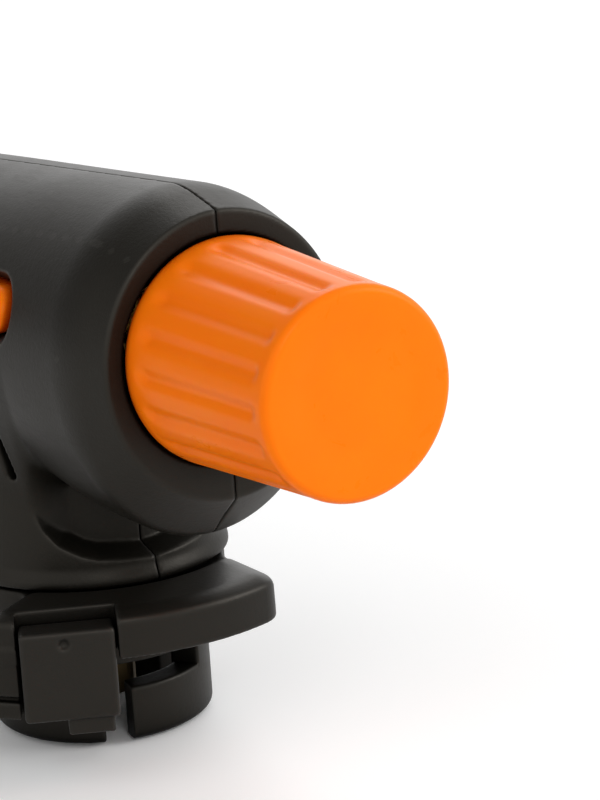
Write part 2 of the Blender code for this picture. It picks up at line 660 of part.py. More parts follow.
def valve_body():
    body = turned("valve_body", VALVE_PROFILE, BRASS, 20, BARREL_AXIS)
    add(body, "valve_boss", rod(4.8, 33.0, AXIS_H - 3.6, CARTRIDGE_AXIS, 20))
    cut(body, "valve_inlet_bore", rod(3.35, 32.0, STEM_TOP + GAP, CARTRIDGE_AXIS, 18))
    cut(body, "valve_inlet_way", rod(0.95, STEM_TOP, AXIS_H, CARTRIDGE_AXIS, 10))
    turned("gland_nut", GLAND_NUT_PROFILE, BRASS, 6, BARREL_AXIS, smooth=20)


def gas_tube_and_jet():
    turned("gas_tube", GAS_TUBE_PROFILE, BRASS, 14, BARREL_AXIS)
    turned("jet_holder", JET_HOLDER_PROFILE, BRASS, 18, BARREL_AXIS)
    turned("jet_nozzle", JET_NOZZLE_PROFILE, BRASS, 14, BARREL_AXIS)


# ------------------------------------------------------------------ valve spindle
KNOB_ORIGIN = (-43.0, 0, AXIS_H)          # shared by the knob, spindle and clip
SPINDLE_SEAL_X = -9.5
SPINDLE_PROFILE = [
    (0, -48.2), (1.2, -48.2), (1.6, -47.8), (1.6, -24.4), (1.15, -24.2), (1.15, -23.3),
    (1.6, -23.1), (1.6, -17.6), (2.3, -17.3), (2.3, -12.0), (2.2, -10.9), (1.2, -10.7),
    (1.2, -8.3), (2.2, -8.1), (2.2, -7.4), (0.55, -4.4), (0, -4.4)]
CLIP_PROFILE = [(1.5, -24.05), (3.3, -24.05), (3.3, -23.45), (1.5, -23.45)]


def valve_spindle():
    turned("valve_spindle", SPINDLE_PROFILE, ZINC, 16, BARREL_AXIS, KNOB_ORIGIN)
    finish("spindle_seal", torus_mesh(1.87, 0.5, BARREL_AXIS, SPINDLE_SEAL_X), RUBBER,
           (SPINDLE_SEAL_X, 0, AXIS_H))
    turned("retaining_clip", CLIP_PROFILE, STEEL, 16, BARREL_AXIS, KNOB_ORIGIN, arc=(30, 330))


# ------------------------------------------------------------------ control knob
KNOB_FACE_R, KNOB_REAR_R = 10.25, 11.34   # radii at the outer face and at the taper's end
TAPER_END_X = -33.0
KNOB_REAR_X = -30.4                       # the knob's end towards the housing
FACE_ROUND, REAR_ROUND = 0.8, 2.0
FLUTES, FLUTE_DEPTH, FLUTE_STEPS = 18, 0.45, 4
FLUTE_START = (KNOB_FACE_X + 0.6, KNOB_FACE_X + 3.4)   # flutes deepen between these
FLUTE_END = (-36.2, -32.6)                             # and run out between these
KNOB_STATIONS_X = (KNOB_FACE_X, KNOB_FACE_X + 0.25, KNOB_FACE_X + 0.8, KNOB_FACE_X + 3.2,
                   -36.2, -32.8, -31.3, KNOB_REAR_X - 0.25)
HOLLOW_END_X = KNOB_REAR_X + 1
KNOB_HOLLOW_PROFILE = [(3.7, HOLLOW_END_X), (8.8, HOLLOW_END_X), (8.8, -51.0), (7.8, -52.6),
                       (3.7, -52.6)]
KNOB_DISH_PROFILE = [(0, KNOB_FACE_X - 1), (8.0, KNOB_FACE_X - 1), (6.4, KNOB_FACE_X + 0.1),
                     (0, KNOB_FACE_X + 0.16)]


def knob_radius(x):
    """The knob's taper, with its two rounded ends."""
    face = x - KNOB_FACE_X
    part = min(1.0, face / (TAPER_END_X - KNOB_FACE_X))
    radius = KNOB_FACE_R + (KNOB_REAR_R - KNOB_FACE_R) * part
    if face < FACE_ROUND:
        radius -= FACE_ROUND - math.sqrt(max(0.0, FACE_ROUND ** 2 - (FACE_ROUND - face) ** 2))
    rear = x - (KNOB_REAR_X - REAR_ROUND)
    if rear > 0:
        radius -= REAR_ROUND - math.sqrt(max(0.0, REAR_ROUND ** 2 - rear ** 2))
    return radius


def knob_ring(x):
    count = FLUTES * FLUTE_STEPS
    flute = FLUTE_DEPTH * ease(x, *FLUTE_START) * (1 - ease(x, *FLUTE_END))
    ring = []
    for i in range(count):
        turn = 2 * math.pi * i / count
        radius = knob_radius(x) - flute * 0.5 * (1 - math.cos(FLUTES * turn))
        ring.append((x, radius * math.cos(turn), AXIS_H + radius * math.sin(turn)))
    return ring


def control_knob():
    knob = finish("control_knob", loft_mesh([knob_ring(x) for x in KNOB_STATIONS_X]), ORANGE,
                  KNOB_ORIGIN)
    cut(knob, "knob_hollow", turned_mesh(KNOB_HOLLOW_PROFILE, 28, BARREL_AXIS))
    cut(knob, "knob_hub_end", rod(3.8, -33.0, HOLLOW_END_X, BARREL_AXIS, 20))
    cut(knob, "knob_bore", rod(1.9, -48.6, -30.0, BARREL_AXIS, 16))
    cut(knob, "knob_dish", turned_mesh(KNOB_DISH_PROFILE, 28, BARREL_AXIS))


# ------------------------------------------------------------------ ignition
BUTTON_FACE_Y = 14.8
BUTTON_LEVELS = ((9.0, 0.0), (BUTTON_FACE_Y - 1.0, 0.0), (BUTTON_FACE_Y - 0.3, -0.3),
                 (BUTTON_FACE_Y, -0.9))   # (y, growth)
PIEZO_X, PIEZO_Z = BUTTON_MID_X, AXIS_H + 7.2
PIEZO_LINE = crosswise(PIEZO_X, PIEZO_Z)
PIEZO_HALF_L = 4.5
PLUNGER_END_Y = 8.2
PLUNGER_PROFILE = [(0, 2.0), (1.0, 2.0), (1.0, 6.9), (1.45, 6.9), (1.45, 8.0),
                   (1.2, PLUNGER_END_Y), (0, PLUNGER_END_Y)]
SPRING_R, SPRING_WIRE_R = 1.45, 0.2
SPRING_Y0, SPRING_Y1 = 3.9, 6.4
SPRING_TURNS, STEPS_PER_TURN = 4, 10
LEAD_R, ELECTRODE_R = 0.75, 0.42
LEAD_PATH = (             # x, y, height above the barrel axis
    (PIEZO_X, -8.7, 6.4), (-0.8, -9.0, 5.9), (5.0, -8.9, 5.2), (11.0, -8.0, 4.4),
    (17.0, -6.4, 3.8), (22.0, -4.6, 3.8), (26.0, -2.6, 4.6), (29.0, -1.0, 5.8),
    (31.0, -0.2, 6.45), (32.0, 0.0, SPARK_H),
)
ELECTRODE_PATH = (        # the same columns
    (32.7, 0, SPARK_H), (60.0, 0, SPARK_H), (96.0, 0, SPARK_H), (98.5, 0, SPARK_H + 0.3),
    (100.0, 0, SPARK_H + 1.2),
)
INSULATOR_PROFILE = [(0.75, 32.4), (1.3, 32.4), (1.6, 32.8), (1.6, 93.0), (1.1, 94.0),
                     (0.75, 94.0)]


def ignition_button():
    button = finish("ignition_button", button_prism(0.0, BUTTON_LEVELS), ORANGE,
                    (BUTTON_MID_X, BUTTON_FACE_Y, BUTTON_Z))
    add(button, "button_plate", box_mesh((BUTTON_REAR_X - 1.6, 8.5, AXIS_H - 1.3),
                                         (BUTTON_FRONT_X + 1.2, 9.2, AXIS_H + 7.2)))


def piezo_unit():
    body = finish("piezo_body", box_mesh((PIEZO_X - PIEZO_HALF_L, -7.6, AXIS_H + 5.5),
                                         (PIEZO_X + PIEZO_HALF_L, 3.4, AXIS_H + 9.1)),
                  PIEZO, smooth=0)
    chamfer_edges(body, 0.35)
    cut(body, "piezo_mouth", rod(1.35, -1.6, 5.0, PIEZO_LINE, 14))
    turned("piezo_plunger", PLUNGER_PROFILE, WHITE, 14, PIEZO_LINE,
           (PIEZO_X, PLUNGER_END_Y, PIEZO_Z))
    coil = []
    steps = SPRING_TURNS * STEPS_PER_TURN
    for i in range(steps + 1):
        turn = 2 * math.pi * i / STEPS_PER_TURN
        coil.append(on_line(PIEZO_LINE, SPRING_R * math.cos(turn), SPRING_R * math.sin(turn),
                            SPRING_Y0 + (SPRING_Y1 - SPRING_Y0) * i / steps))
    finish("piezo_spring", sweep_mesh(coil, SPRING_WIRE_R, 5), STEEL)


def wire(name, path, radius, mat):
    points = [(x, y, AXIS_H + height) for x, y, height in path]
    finish(name, sweep_mesh(points, radius, 8), mat)


def lead_and_electrode():
    wire("ignition_lead", LEAD_PATH, LEAD_R, LEAD)
    turned("electrode_insulator", INSULATOR_PROFILE, CERAMIC, 14,
           lengthwise(0, AXIS_H + SPARK_H))
    wire("spark_electrode", ELECTRODE_PATH, ELECTRODE_R, STEEL)


# ------------------------------------------------------------------ burner
TUBE_R, TUBE_WALL, TUBE_X0 = 10.0, 0.7, 37.0
TUBE_BORE_R = TUBE_R - TUBE_WALL
MOUNT_PROFILE = [(3.75, 34.4), (10.8, 34.4), (10.8, 36.7), (8.9, 36.7), (8.9, 40.5), (3.75, 40.5)]
WASHER_PROFILE = [(8.7, 32.8), (10.8, 32.8), (10.8, 34.1), (8.7, 34.1)]
NOSE_RING_PROFILE = [
    (NOSE_OPENING_R, BARREL_FRONT_X + GAP), (12.5, BARREL_FRONT_X + GAP), (12.5, 45.5),
    (11.3, 48.6), (NOSE_OPENING_R, 48.6)]
TUBE_PROFILE = [
    (TUBE_BORE_R, TUBE_X0), (TUBE_R, TUBE_X0), (TUBE_R, 108.0), (TUBE_R - 0.25, 111.5),
    (TUBE_R - 0.9, 114.2), (TUBE_R - 1.3, TIP_X), (TUBE_R - 1.6, 114.2),
    (TUBE_BORE_R - 0.25, 111.5), (TUBE_BORE_R, 108.0)]
MIXER_PROFILE = [(3.75, 43.0), (4.15, 43.0), (4.15, 88.0), (3.75, 88.0)]
FLAME_HOLDER_PROFILE = [(4.45, 85.0), (8.95, 85.0), (8.95, 87.0), (4.45, 87.0)]
AIR_HOLE_X, AIR_HOLE_R, AIR_CUTS = 56.0, 2.3, 3   # each cut goes through both sides
MIXER_PORT_X, MIXER_PORT_R = 52.6, 1.4
FLAME_PORTS = 9
FLAME_PORT_R, FLAME_PORT_REACH = 0.95, 6.8
INSULATOR_PORT_R = 1.88   # the topmost port, round the electrode insulator
PORT_PHASE = 0.13         # turn of each port's facets, in radians


def burner_mounting():
    mount = turned("burner_mount", MOUNT_PROFILE, ZINC, 28, BARREL_AXIS)
    cut(mount, "insulator_way", rod(1.9, 33.0, 42.0, lengthwise(0, AXIS_H + SPARK_H), 12))
    turned("heat_washer", WASHER_PROFILE, FIBRE, 28, BARREL_AXIS)
    turned("nose_ring", NOSE_RING_PROFILE, STEEL, 28, BARREL_AXIS)


def burner_tube():
    tube = turned("burner_tube", TUBE_PROFILE, STEEL, 28, BARREL_AXIS)
    for k in range(AIR_CUTS):
        hole = cut(tube, f"air_hole{k}", rod(AIR_HOLE_R, -14.0, 14.0, CARTRIDGE_AXIS, 12))
        hole.matrix_basis = (Matrix.Translation(Vector((AIR_HOLE_X, 0, AXIS_H)) * MM)
                             @ Matrix.Rotation(math.pi * k / AIR_CUTS, 4, "X"))


def mixer_tube():
    mixer = turned("mixer_tube", MIXER_PROFILE, STEEL, 20, BARREL_AXIS)
    cut(mixer, "mixer_port_a",
        rod(MIXER_PORT_R, -6.0, 6.0, crosswise(MIXER_PORT_X, AXIS_H), 12))
    cut(mixer, "mixer_port_b",
        rod(MIXER_PORT_R, AXIS_H - 6, AXIS_H + 3.0, upright(MIXER_PORT_X, 0), 12))


def flame_holder():
    holder = turned("flame_holder", FLAME_HOLDER_PROFILE, STEEL, 24, BARREL_AXIS)
    for k in range(FLAME_PORTS):
        turn = math.pi / 2 + 2 * math.pi * k / FLAME_PORTS
        radius = INSULATOR_PORT_R if k == 0 else FLAME_PORT_R
        reach = SPARK_H if k == 0 else FLAME_PORT_REACH
        line = lengthwise(reach * math.cos(turn), AXIS_H + reach * math.sin(turn))
        cut(holder, f"flame_port{k}", rod(radius, 82.0, 90.0, line, 10, PORT_PHASE))


# ------------------------------------------------------------------ assembly
housing_half("left_housing", 1)
housing_half("right_housing", -1)
fasteners()
base_flange()
alignment_key()
bayonet_collar()
gas_inlet()
valve_body()
gas_tube_and_jet()
valve_spindle()
control_knob()
ignition_button()
piezo_unit()
lead_and_electrode()
burner_mounting()
burner_tube()
mixer_tube()
flame_holder()
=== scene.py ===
"""A gas torch head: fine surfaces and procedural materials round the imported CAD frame.

Shapes are in millimetres from the cartridge axis (x forward, y left, z up from the collar's
foot) and are turned to the frame's metres when each mesh is made. The knob, at the rear, and
the burner tube, at the front, share the barrel's axis along x.
"""
import math

import bmesh
import bpy
import numpy as np
from mathutils import Matrix, Vector


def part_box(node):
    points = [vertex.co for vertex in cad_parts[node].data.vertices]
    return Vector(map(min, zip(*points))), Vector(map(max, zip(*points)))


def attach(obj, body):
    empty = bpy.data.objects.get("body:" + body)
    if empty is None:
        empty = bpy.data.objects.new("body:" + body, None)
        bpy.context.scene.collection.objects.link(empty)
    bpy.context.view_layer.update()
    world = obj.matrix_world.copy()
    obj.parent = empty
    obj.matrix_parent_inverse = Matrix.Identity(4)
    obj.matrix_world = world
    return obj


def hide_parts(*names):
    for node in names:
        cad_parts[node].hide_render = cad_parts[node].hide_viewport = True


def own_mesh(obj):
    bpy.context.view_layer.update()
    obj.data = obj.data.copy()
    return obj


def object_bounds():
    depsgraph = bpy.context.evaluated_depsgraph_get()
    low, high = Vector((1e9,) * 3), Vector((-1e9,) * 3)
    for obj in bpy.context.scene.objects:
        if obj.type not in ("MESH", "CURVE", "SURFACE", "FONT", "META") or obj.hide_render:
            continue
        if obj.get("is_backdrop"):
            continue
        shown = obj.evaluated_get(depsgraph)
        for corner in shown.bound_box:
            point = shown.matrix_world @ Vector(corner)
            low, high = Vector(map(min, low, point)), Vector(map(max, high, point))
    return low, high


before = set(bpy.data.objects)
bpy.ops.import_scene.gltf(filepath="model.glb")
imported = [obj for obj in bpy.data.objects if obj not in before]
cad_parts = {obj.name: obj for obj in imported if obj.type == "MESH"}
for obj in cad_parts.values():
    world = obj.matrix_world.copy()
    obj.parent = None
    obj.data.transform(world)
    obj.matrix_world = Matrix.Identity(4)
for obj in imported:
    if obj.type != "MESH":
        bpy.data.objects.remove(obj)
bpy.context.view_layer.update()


# ------------------------------------------------------------------ sizes read from the frame
def middle(low, high):
    """The middle of two frame coordinates, in millimetres."""
    return (low + high) * 500.0


def forward(x):
    """A frame x as millimetres forward of the cartridge axis."""
    return x * 1000 - AXIS_X


lo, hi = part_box("bayonet_collar")
AXIS_X = middle(lo.x, hi.x)                  # cartridge axis
COLLAR_TOP, COLLAR_R = hi.z * 1000, (hi.x - lo.x) * 500
lo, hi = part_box("gas_tube")
BARREL_Z = middle(lo.z, hi.z)                # barrel and knob axis
lo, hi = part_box("control_knob")
KNOB_REAR, KNOB_FRONT = forward(lo.x), forward(hi.x)
lo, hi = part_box("left_housing")
SHELL_REAR, SHELL_FRONT, SHELL_Z0 = forward(lo.x), forward(hi.x), lo.z * 1000
NECK_FOOT = min(SHELL_Z0, 18.1)              # stands in a shallow recess of the plate
lo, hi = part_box("base_flange")
PLATE_R, SKIRT_Z0 = -forward(lo.x), lo.z * 1000
lo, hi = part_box("ignition_button")
SHELF_REAR, SHELF_FRONT = 1.6, 1.2           # how far the button's shelf reaches past it
BUTTON_X0 = forward(lo.x) + SHELF_REAR + 1.5
BUTTON_X1, BUTTON_Y1 = forward(hi.x) - SHELF_FRONT, hi.y * 1000
BUTTON_Z, BUTTON_HALF = BARREL_Z + 2.85, 2.35
lo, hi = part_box("burner_tube")
TUBE_X0, TUBE_X1, TUBE_R = forward(lo.x), forward(hi.x), (hi.y - lo.y) * 500
SCREWS = []                                  # housing screws: x, z and the head's outer y
for k in range(1, 5):
    lo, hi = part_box(f"housing_screw_{k}")
    SCREWS.append((middle(lo.x, hi.x) - AXIS_X, middle(lo.z, hi.z), lo.y * 1000))
BASE_SCREWS = [(6.4 * math.cos(math.radians(turn)), 6.4 * math.sin(math.radians(turn)))
               for turn in (45, 135, 225, 315)]
BASE_HOLE_R, BORE_R = 1.5, 4.0               # screw holes and central bore of plate and collar


# ------------------------------------------------------------------ implicit surfaces
# A shape is a function of x, y, z that is negative inside; blend is the width of a soft edge.
def join(one, other, blend):
    overlap = np.maximum(blend - np.abs(one - other), 0.0) / blend
    return np.minimum(one, other) - overlap * overlap * blend * 0.25


def meet(one, other, blend):
    return -join(-one, -other, blend)


def cut(shape, tool, blend):
    return meet(shape, -tool, blend)


def smooth(x, low, high):
    """A soft step from 0 at low to 1 at high."""
    part = np.clip((x - low) / (high - low), 0.0, 1.0)
    return part * part * (3 - 2 * part)


def rear_angle(x, y):
    """Degrees round the cartridge axis, from the rear towards the left."""
    return np.degrees(np.arctan2(y, -x))


def base_holes(shape, x, y):
    for screw_x, screw_y in BASE_SCREWS:
        shape = np.maximum(shape, BASE_HOLE_R - np.hypot(x - screw_x, y - screw_y))
    return shape


def sample(shape, axes):
    """The shape's values on a grid, worked out in slabs to save memory."""
    field = np.empty([len(axis) for axis in axes], np.float32)
    grid_y, grid_z = np.meshgrid(axes[1], axes[2], indexing="ij")
    for start in range(0, len(axes[0]), 8):
        slab = axes[0][start:start + 8]
        full = (len(slab),) + grid_y.shape
        field[start:start + 8] = shape(np.broadcast_to(slab[:, None, None], full),
                                       np.broadcast_to(grid_y, full),
                                       np.broadcast_to(grid_z, full))
    field[field == 0] = 1e-6
    return field


def surface_net(shape, lo, hi, step):
    """Quads over the surface shape = 0, with one point in each grid cell that it crosses."""
    field = sample(shape, [np.arange(lo[i], hi[i] + step, step) for i in range(3)])
    inside = field < 0
    corners = [(i, j, k) for i in (0, 1) for j in (0, 1) for k in (0, 1)]
    cells = tuple(size - 1 for size in field.shape)

    count = np.zeros(cells, np.int8)
    for corner in corners:
        count += inside[tuple(slice(c, c + size) for c, size in zip(corner, cells))]
    ids = np.nonzero((count > 0) & (count < 8))
    index = -np.ones(cells, np.int64)
    index[ids] = np.arange(len(ids[0]))

    # each point starts at the mean of the crossings on its cell's edges
    total = np.zeros((len(ids[0]), 3))
    hits = np.zeros(len(ids[0]))
    values = {c: field[ids[0] + c[0], ids[1] + c[1], ids[2] + c[2]] for c in corners}
    for corner in corners:
        for axis in range(3):
            if corner[axis]:
                continue
            end = corner[:axis] + (1,) + corner[axis + 1:]
            first, last = values[corner], values[end]
            cross = (first < 0) != (last < 0)
            part = np.where(cross, first / np.where(cross, first - last, 1), 0)
            point = np.array(corner, float)[None, :].repeat(len(part), 0)
            point[:, axis] = part
            total[cross] += point[cross]
            hits[cross] += 1
    verts = total / hits[:, None] + np.stack(ids, 1)
    verts = verts * step + np.array(lo)[None, :]

    # a quad round every grid edge that crosses the surface
    faces = []
    for axis in range(3):
        side, other = [k for k in range(3) if k != axis]
        window = [slice(1, size) for size in cells]
        window[axis] = slice(0, cells[axis])
        here = inside[tuple(window)]
        window[axis] = slice(1, cells[axis] + 1)
        crossed = np.nonzero(here != inside[tuple(window)])
        base = np.stack(crossed, 1)
        base[:, side] += 1
        base[:, other] += 1
        ring = []
        for back_side, back_other in ((1, 1), (0, 1), (0, 0), (1, 0)):
            cell = base.copy()
            cell[:, side] -= back_side
            cell[:, other] -= back_other
            ring.append(index[cell[:, 0], cell[:, 1], cell[:, 2]])
        quad = np.stack(ring, 1)
        inside_first = here[crossed]
        if axis == 1:
            inside_first = ~inside_first
        quad[~inside_first] = quad[~inside_first][:, ::-1]
        faces.append(quad)
    faces = np.concatenate(faces)
    faces = faces[(faces >= 0).all(1)]

    # move the points onto the surface, along the shape's gradient
    reach = step * 0.2
    for _ in range(3):
        x, y, z = verts.T
        value = shape(x, y, z)
        slope = np.stack([shape(x + reach, y, z) - shape(x - reach, y, z),
                          shape(x, y + reach, z) - shape(x, y - reach, z),
                          shape(x, y, z + reach) - shape(x, y, z - reach)], 1) / (2 * reach)
        steep = np.maximum((slope * slope).sum(1), 0.25)
        move = -(value / steep)[:, None] * slope
        size = np.linalg.norm(move, axis=1)
        move *= np.minimum(1.0, 0.6 * step / np.maximum(size, 1e-9))[:, None]
        verts = verts + move
    return verts, faces


# ------------------------------------------------------------------ making objects
def mesh_object(name, verts, faces, mat, node, body="torch", angle=None):
    """A smooth object from points in millimetres; edges sharper than angle stay sharp."""
    mesh = bpy.data.meshes.new(name)
    verts = np.array(verts, float)
    verts[:, 0] += AXIS_X
    verts = verts * 0.001
    work = bmesh.new()
    if isinstance(faces, np.ndarray):
        mesh.vertices.add(len(verts))
        mesh.vertices.foreach_set("co", verts.astype(np.float32).ravel())
        sides = faces.shape[1]
        mesh.loops.add(faces.size)
        mesh.loops.foreach_set("vertex_index", faces.astype(np.int32).ravel())
        mesh.polygons.add(len(faces))
        starts = np.arange(0, faces.size, sides, dtype=np.int32)
        mesh.polygons.foreach_set("loop_start", starts)
        mesh.update(calc_edges=True)
        mesh.validate()
        work.from_mesh(mesh)
    else:
        mesh.from_pydata([tuple(v) for v in verts], [], faces)
        work.from_mesh(mesh)
        bmesh.ops.recalc_face_normals(work, faces=work.faces)
    if work.calc_volume(signed=True) < 0:
        bmesh.ops.reverse_faces(work, faces=work.faces)
    work.to_mesh(mesh)
    work.free()
    mesh.shade_smooth()
    if angle:
        mesh.set_sharp_from_angle(angle=math.radians(angle))
    obj = bpy.data.objects.new(name, mesh)
    bpy.context.scene.collection.objects.link(obj)
    mesh.materials.append(mat)
    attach(obj, body)
    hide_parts(node)
    return obj


def solid(name, node, shape, lo, hi, step, mat, body="torch"):
    verts, faces = surface_net(shape, lo, hi, step)
    return mesh_object(name, verts, faces, mat, node, body)


def band(first, second, count):
    """Quads between two rings of points, given the index at which each ring starts."""
    quads = []
    for i in range(count):
        j = (i + 1) % count
        quads.append((first + i, first + j, second + j, second + i))
    return quads


# ------------------------------------------------------------------ materials
class Nodes:
    """A material's node tree: each method adds nodes and returns the last one's output."""

    def __init__(self, name):
        self.mat = bpy.data.materials.new(name)
        self.mat.use_nodes = True
        self.tree = self.mat.node_tree
        self.shader = self.tree.nodes["Principled BSDF"]
        self.coord = self.node("ShaderNodeTexCoord").outputs["Object"]

    def node(self, kind):
        return self.tree.nodes.new(kind)

    def feed(self, socket, value):
        """Links an output to the socket, or sets a number or colour on it."""
        if isinstance(value, (int, float)):
            socket.default_value = value
        elif isinstance(value, tuple):
            socket.default_value = (*value, 1) if socket.type == "RGBA" else value
        else:
            self.tree.links.new(value, socket)

    def scaled(self, scale):
        made = self.node("ShaderNodeMapping")
        made.inputs["Scale"].default_value = scale
        self.feed(made.inputs["Vector"], self.coord)
        return made.outputs[0]

    def noise(self, scale, detail, rough, vec=None, distort=0.0):
        made = self.node("ShaderNodeTexNoise")
        for key, value in (("Scale", scale), ("Detail", detail), ("Roughness", rough),
                           ("Distortion", distort), ("Vector", vec or self.coord)):
            self.feed(made.inputs[key], value)
        return made.outputs["Fac"]

    def ramp(self, fac, *stops):
        made = self.node("ShaderNodeValToRGB")
        elements = made.color_ramp.elements
        while len(elements) < len(stops):
            elements.new(0.5)
        for element, (position, color) in zip(elements, stops):
            element.position = position
            element.color = (*color, 1)
        self.feed(made.inputs[0], fac)
        return made.outputs[0]

    def mapped(self, fac, span=(0.3, 0.7), to=(0.0, 1.0), clamp=True):
        """Turns the values of span into those of to."""
        made = self.node("ShaderNodeMapRange")
        made.clamp = clamp
        for i, value in enumerate((fac, *span, *to)):
            self.feed(made.inputs[i], value)
        return made.outputs[0]

    def calc(self, operation, first, second):
        made = self.node("ShaderNodeMath")
        made.operation = operation
        self.feed(made.inputs[0], first)
        self.feed(made.inputs[1], second)
        return made.outputs[0]

    def mix(self, fac, first, second):
        made = self.node("ShaderNodeMix")
        made.data_type = "RGBA"
        for i, value in ((0, fac), (6, first), (7, second)):
            self.feed(made.inputs[i], value)
        return made.outputs[2]

    def bump(self, height, strength, distance, normal=None):
        made = self.node("ShaderNodeBump")
        made.inputs["Strength"].default_value = strength
        made.inputs["Distance"].default_value = distance
        self.feed(made.inputs["Height"], height)
        if normal:
            self.feed(made.inputs["Normal"], normal)
        return made.outputs[0]

    def edge(self):
        """Worn convex edges, from the mesh's own curvature."""
        curve = self.node("ShaderNodeNewGeometry").outputs["Pointiness"]
        return self.mapped(curve, span=(0.505, 0.56))

    def openness(self, distance, span, to=(0.0, 1.0)):
        """Low in corners and high on open faces; it masks the painted shade in corners."""
        made = self.node("ShaderNodeAmbientOcclusion")
        made.samples = 6
        made.inputs["Distance"].default_value = distance
        return self.mapped(made.outputs["AO"], span, to)

    def set(self, **values):
        for key, value in values.items():
            self.feed(self.shader.inputs[key.replace("_", " ")], value)
        return self.mat


def shade(base, factor):
    return tuple(c * factor for c in base)


def plastic_black(name, base, rough, grain, spec):
    """Moulded black with grain, scuffs and worn edges; painted shade darkens its corners and
    dims their reflection.
    """
    tree = Nodes(name)
    broad = tree.noise(scale=70, detail=3, rough=0.5)
    fine = tree.noise(scale=5200, detail=2, rough=0.6)
    pores = tree.noise(scale=2100, detail=3, rough=0.65)
    scuff = tree.noise(scale=900, detail=5, rough=0.7, vec=tree.scaled((0.25, 1.0, 1.0)),
                       distort=1.5)
    color = tree.mix(tree.mapped(broad), shade(base, 0.86), shade(base, 1.14))
    worn = tuple(c * 2.6 + 0.02 for c in base)
    color = tree.mix(tree.calc("MULTIPLY", tree.edge(), 0.25), color, worn)
    gloss = tree.calc("ADD",
                      tree.mapped(broad, span=(0.25, 0.75), to=(rough - 0.035, rough + 0.035)),
                      tree.mapped(scuff, span=(0.5, 0.75), to=(0.0, 0.05)))
    relief = tree.bump(fine, strength=0.55 * grain, distance=0.00004)
    relief = tree.bump(pores, strength=0.6 * grain, distance=0.00007, normal=relief)
    # painted shade: corners go towards near black and their reflection is dimmed, where shade
    # falls
    open_ = tree.openness(distance=0.007, span=(0.25, 0.8), to=(0.08, 1.0))
    color = tree.mix(open_, (0.0012, 0.001, 0.0007), color)
    return tree.set(Base_Color=color, Roughness=gloss, Normal=relief, IOR=1.5,
                    Specular_IOR_Level=tree.calc("MULTIPLY", open_, spec),
                    Specular_Tint=(1.0, 0.93, 0.82))


def plastic_orange(name, base, rough):
    """Glossy, slightly translucent orange with flow marks; painted shade darkens its corners to
    deep red.
    """
    tree = Nodes(name)
    red, green, blue = base
    broad = tree.noise(scale=90, detail=3, rough=0.5)
    fine = tree.noise(scale=3600, detail=2, rough=0.6)
    flow = tree.noise(scale=260, detail=4, rough=0.6, vec=tree.scaled((0.2, 1, 1)), distort=0.8)
    color = tree.mix(tree.mapped(broad), (red, green * 0.95, blue),
                     (red, green * 1.05, blue * 1.1))
    gloss = tree.calc("ADD", tree.mapped(flow, to=(rough - 0.04, rough + 0.05)), 0.0)
    # painted shade: the orange turns deep red in corners and next to other parts
    open_ = tree.openness(distance=0.006, span=(0.35, 0.85))
    color = tree.mix(open_, (0.42, 0.04, 0.0005), color)
    relief = tree.bump(fine, strength=0.09, distance=0.00003)
    relief = tree.bump(flow, strength=0.08, distance=0.0001, normal=relief)
    return tree.set(Base_Color=color, Roughness=gloss, Normal=relief, IOR=1.49,
                    Specular_IOR_Level=0.17, Specular_Tint=(1.0, 0.72, 0.42),
                    Subsurface_Weight=0.25, Subsurface_Radius=(0.004, 0.0014, 0.0003),
                    Subsurface_Scale=0.35)


def metal(name, base, rough, stretch=(1, 1, 1), lines=0.4, tint=None):
    """Metal with fine lines drawn out by stretch; tint may recolour it."""
    tree = Nodes(name)
    broad = tree.noise(scale=120, detail=4, rough=0.6)
    drawn = tree.noise(scale=900, detail=4, rough=0.7, vec=tree.scaled(stretch))
    fine = tree.noise(scale=3200, detail=3, rough=0.6, vec=tree.scaled(stretch))
    color = tree.mix(tree.mapped(broad), shade(base, 0.9), shade(base, 1.08))
    if tint:
        color = tint(tree, color)
    gloss = tree.calc("ADD", tree.mapped(drawn, to=(rough - 0.06, rough + 0.08)),
                      tree.mapped(broad, span=(0.35, 0.7), to=(0.0, 0.05)))
    relief = tree.bump(fine, strength=0.25 * lines, distance=0.00003)
    relief = tree.bump(drawn, strength=0.35 * lines, distance=0.00006, normal=relief)
    return tree.set(Base_Color=color, Roughness=gloss, Normal=relief, Metallic=1.0)


def heat_tint(tree, color):
    """Straw, purple and blue oxide bands that grow towards the burner's mouth."""
    split = tree.node("ShaderNodeSeparateXYZ")
    tree.feed(split.inputs[0], tree.coord)
    wave = tree.noise(scale=160, detail=3, rough=0.6)
    wavy_x = tree.calc("ADD", split.outputs[0],
                       tree.mapped(wave, span=(0.2, 0.8), to=(-0.0035, 0.0035), clamp=False))
    mouth = (TUBE_X1 + AXIS_X) * 0.001
    heat = tree.mapped(wavy_x, span=(mouth - 0.038, mouth))
    oxide = tree.ramp(heat, (0.0, (0.62, 0.61, 0.585)), (0.3, (0.66, 0.56, 0.38)),
                      (0.52, (0.52, 0.36, 0.27)), (0.68, (0.36, 0.26, 0.36)),
                      (0.8, (0.25, 0.32, 0.48)), (0.92, (0.42, 0.44, 0.45)),
                      (1.0, (0.22, 0.2, 0.19)))
    return tree.mix(tree.mapped(heat, span=(0.0, 0.08), to=(0.0, 0.82)), color, oxide)


def plain(name, base, rough, scale, depth=0.00005, strength=0.3, spread=0.12):
    """A non-metal with one grain (scale, depth, strength) and a colour spread."""
    tree = Nodes(name)
    fine = tree.noise(scale=scale, detail=4, rough=0.65)
    broad = tree.noise(scale=scale * 0.08, detail=3, rough=0.5)
    color = tree.mix(tree.mapped(broad), shade(base, 1 - spread), shade(base, 1 + spread))
    return tree.set(Base_Color=color,
                    Roughness=tree.mapped(fine, to=(rough - 0.05, rough + 0.06)),
                    Normal=tree.bump(fine, strength=strength, distance=depth))


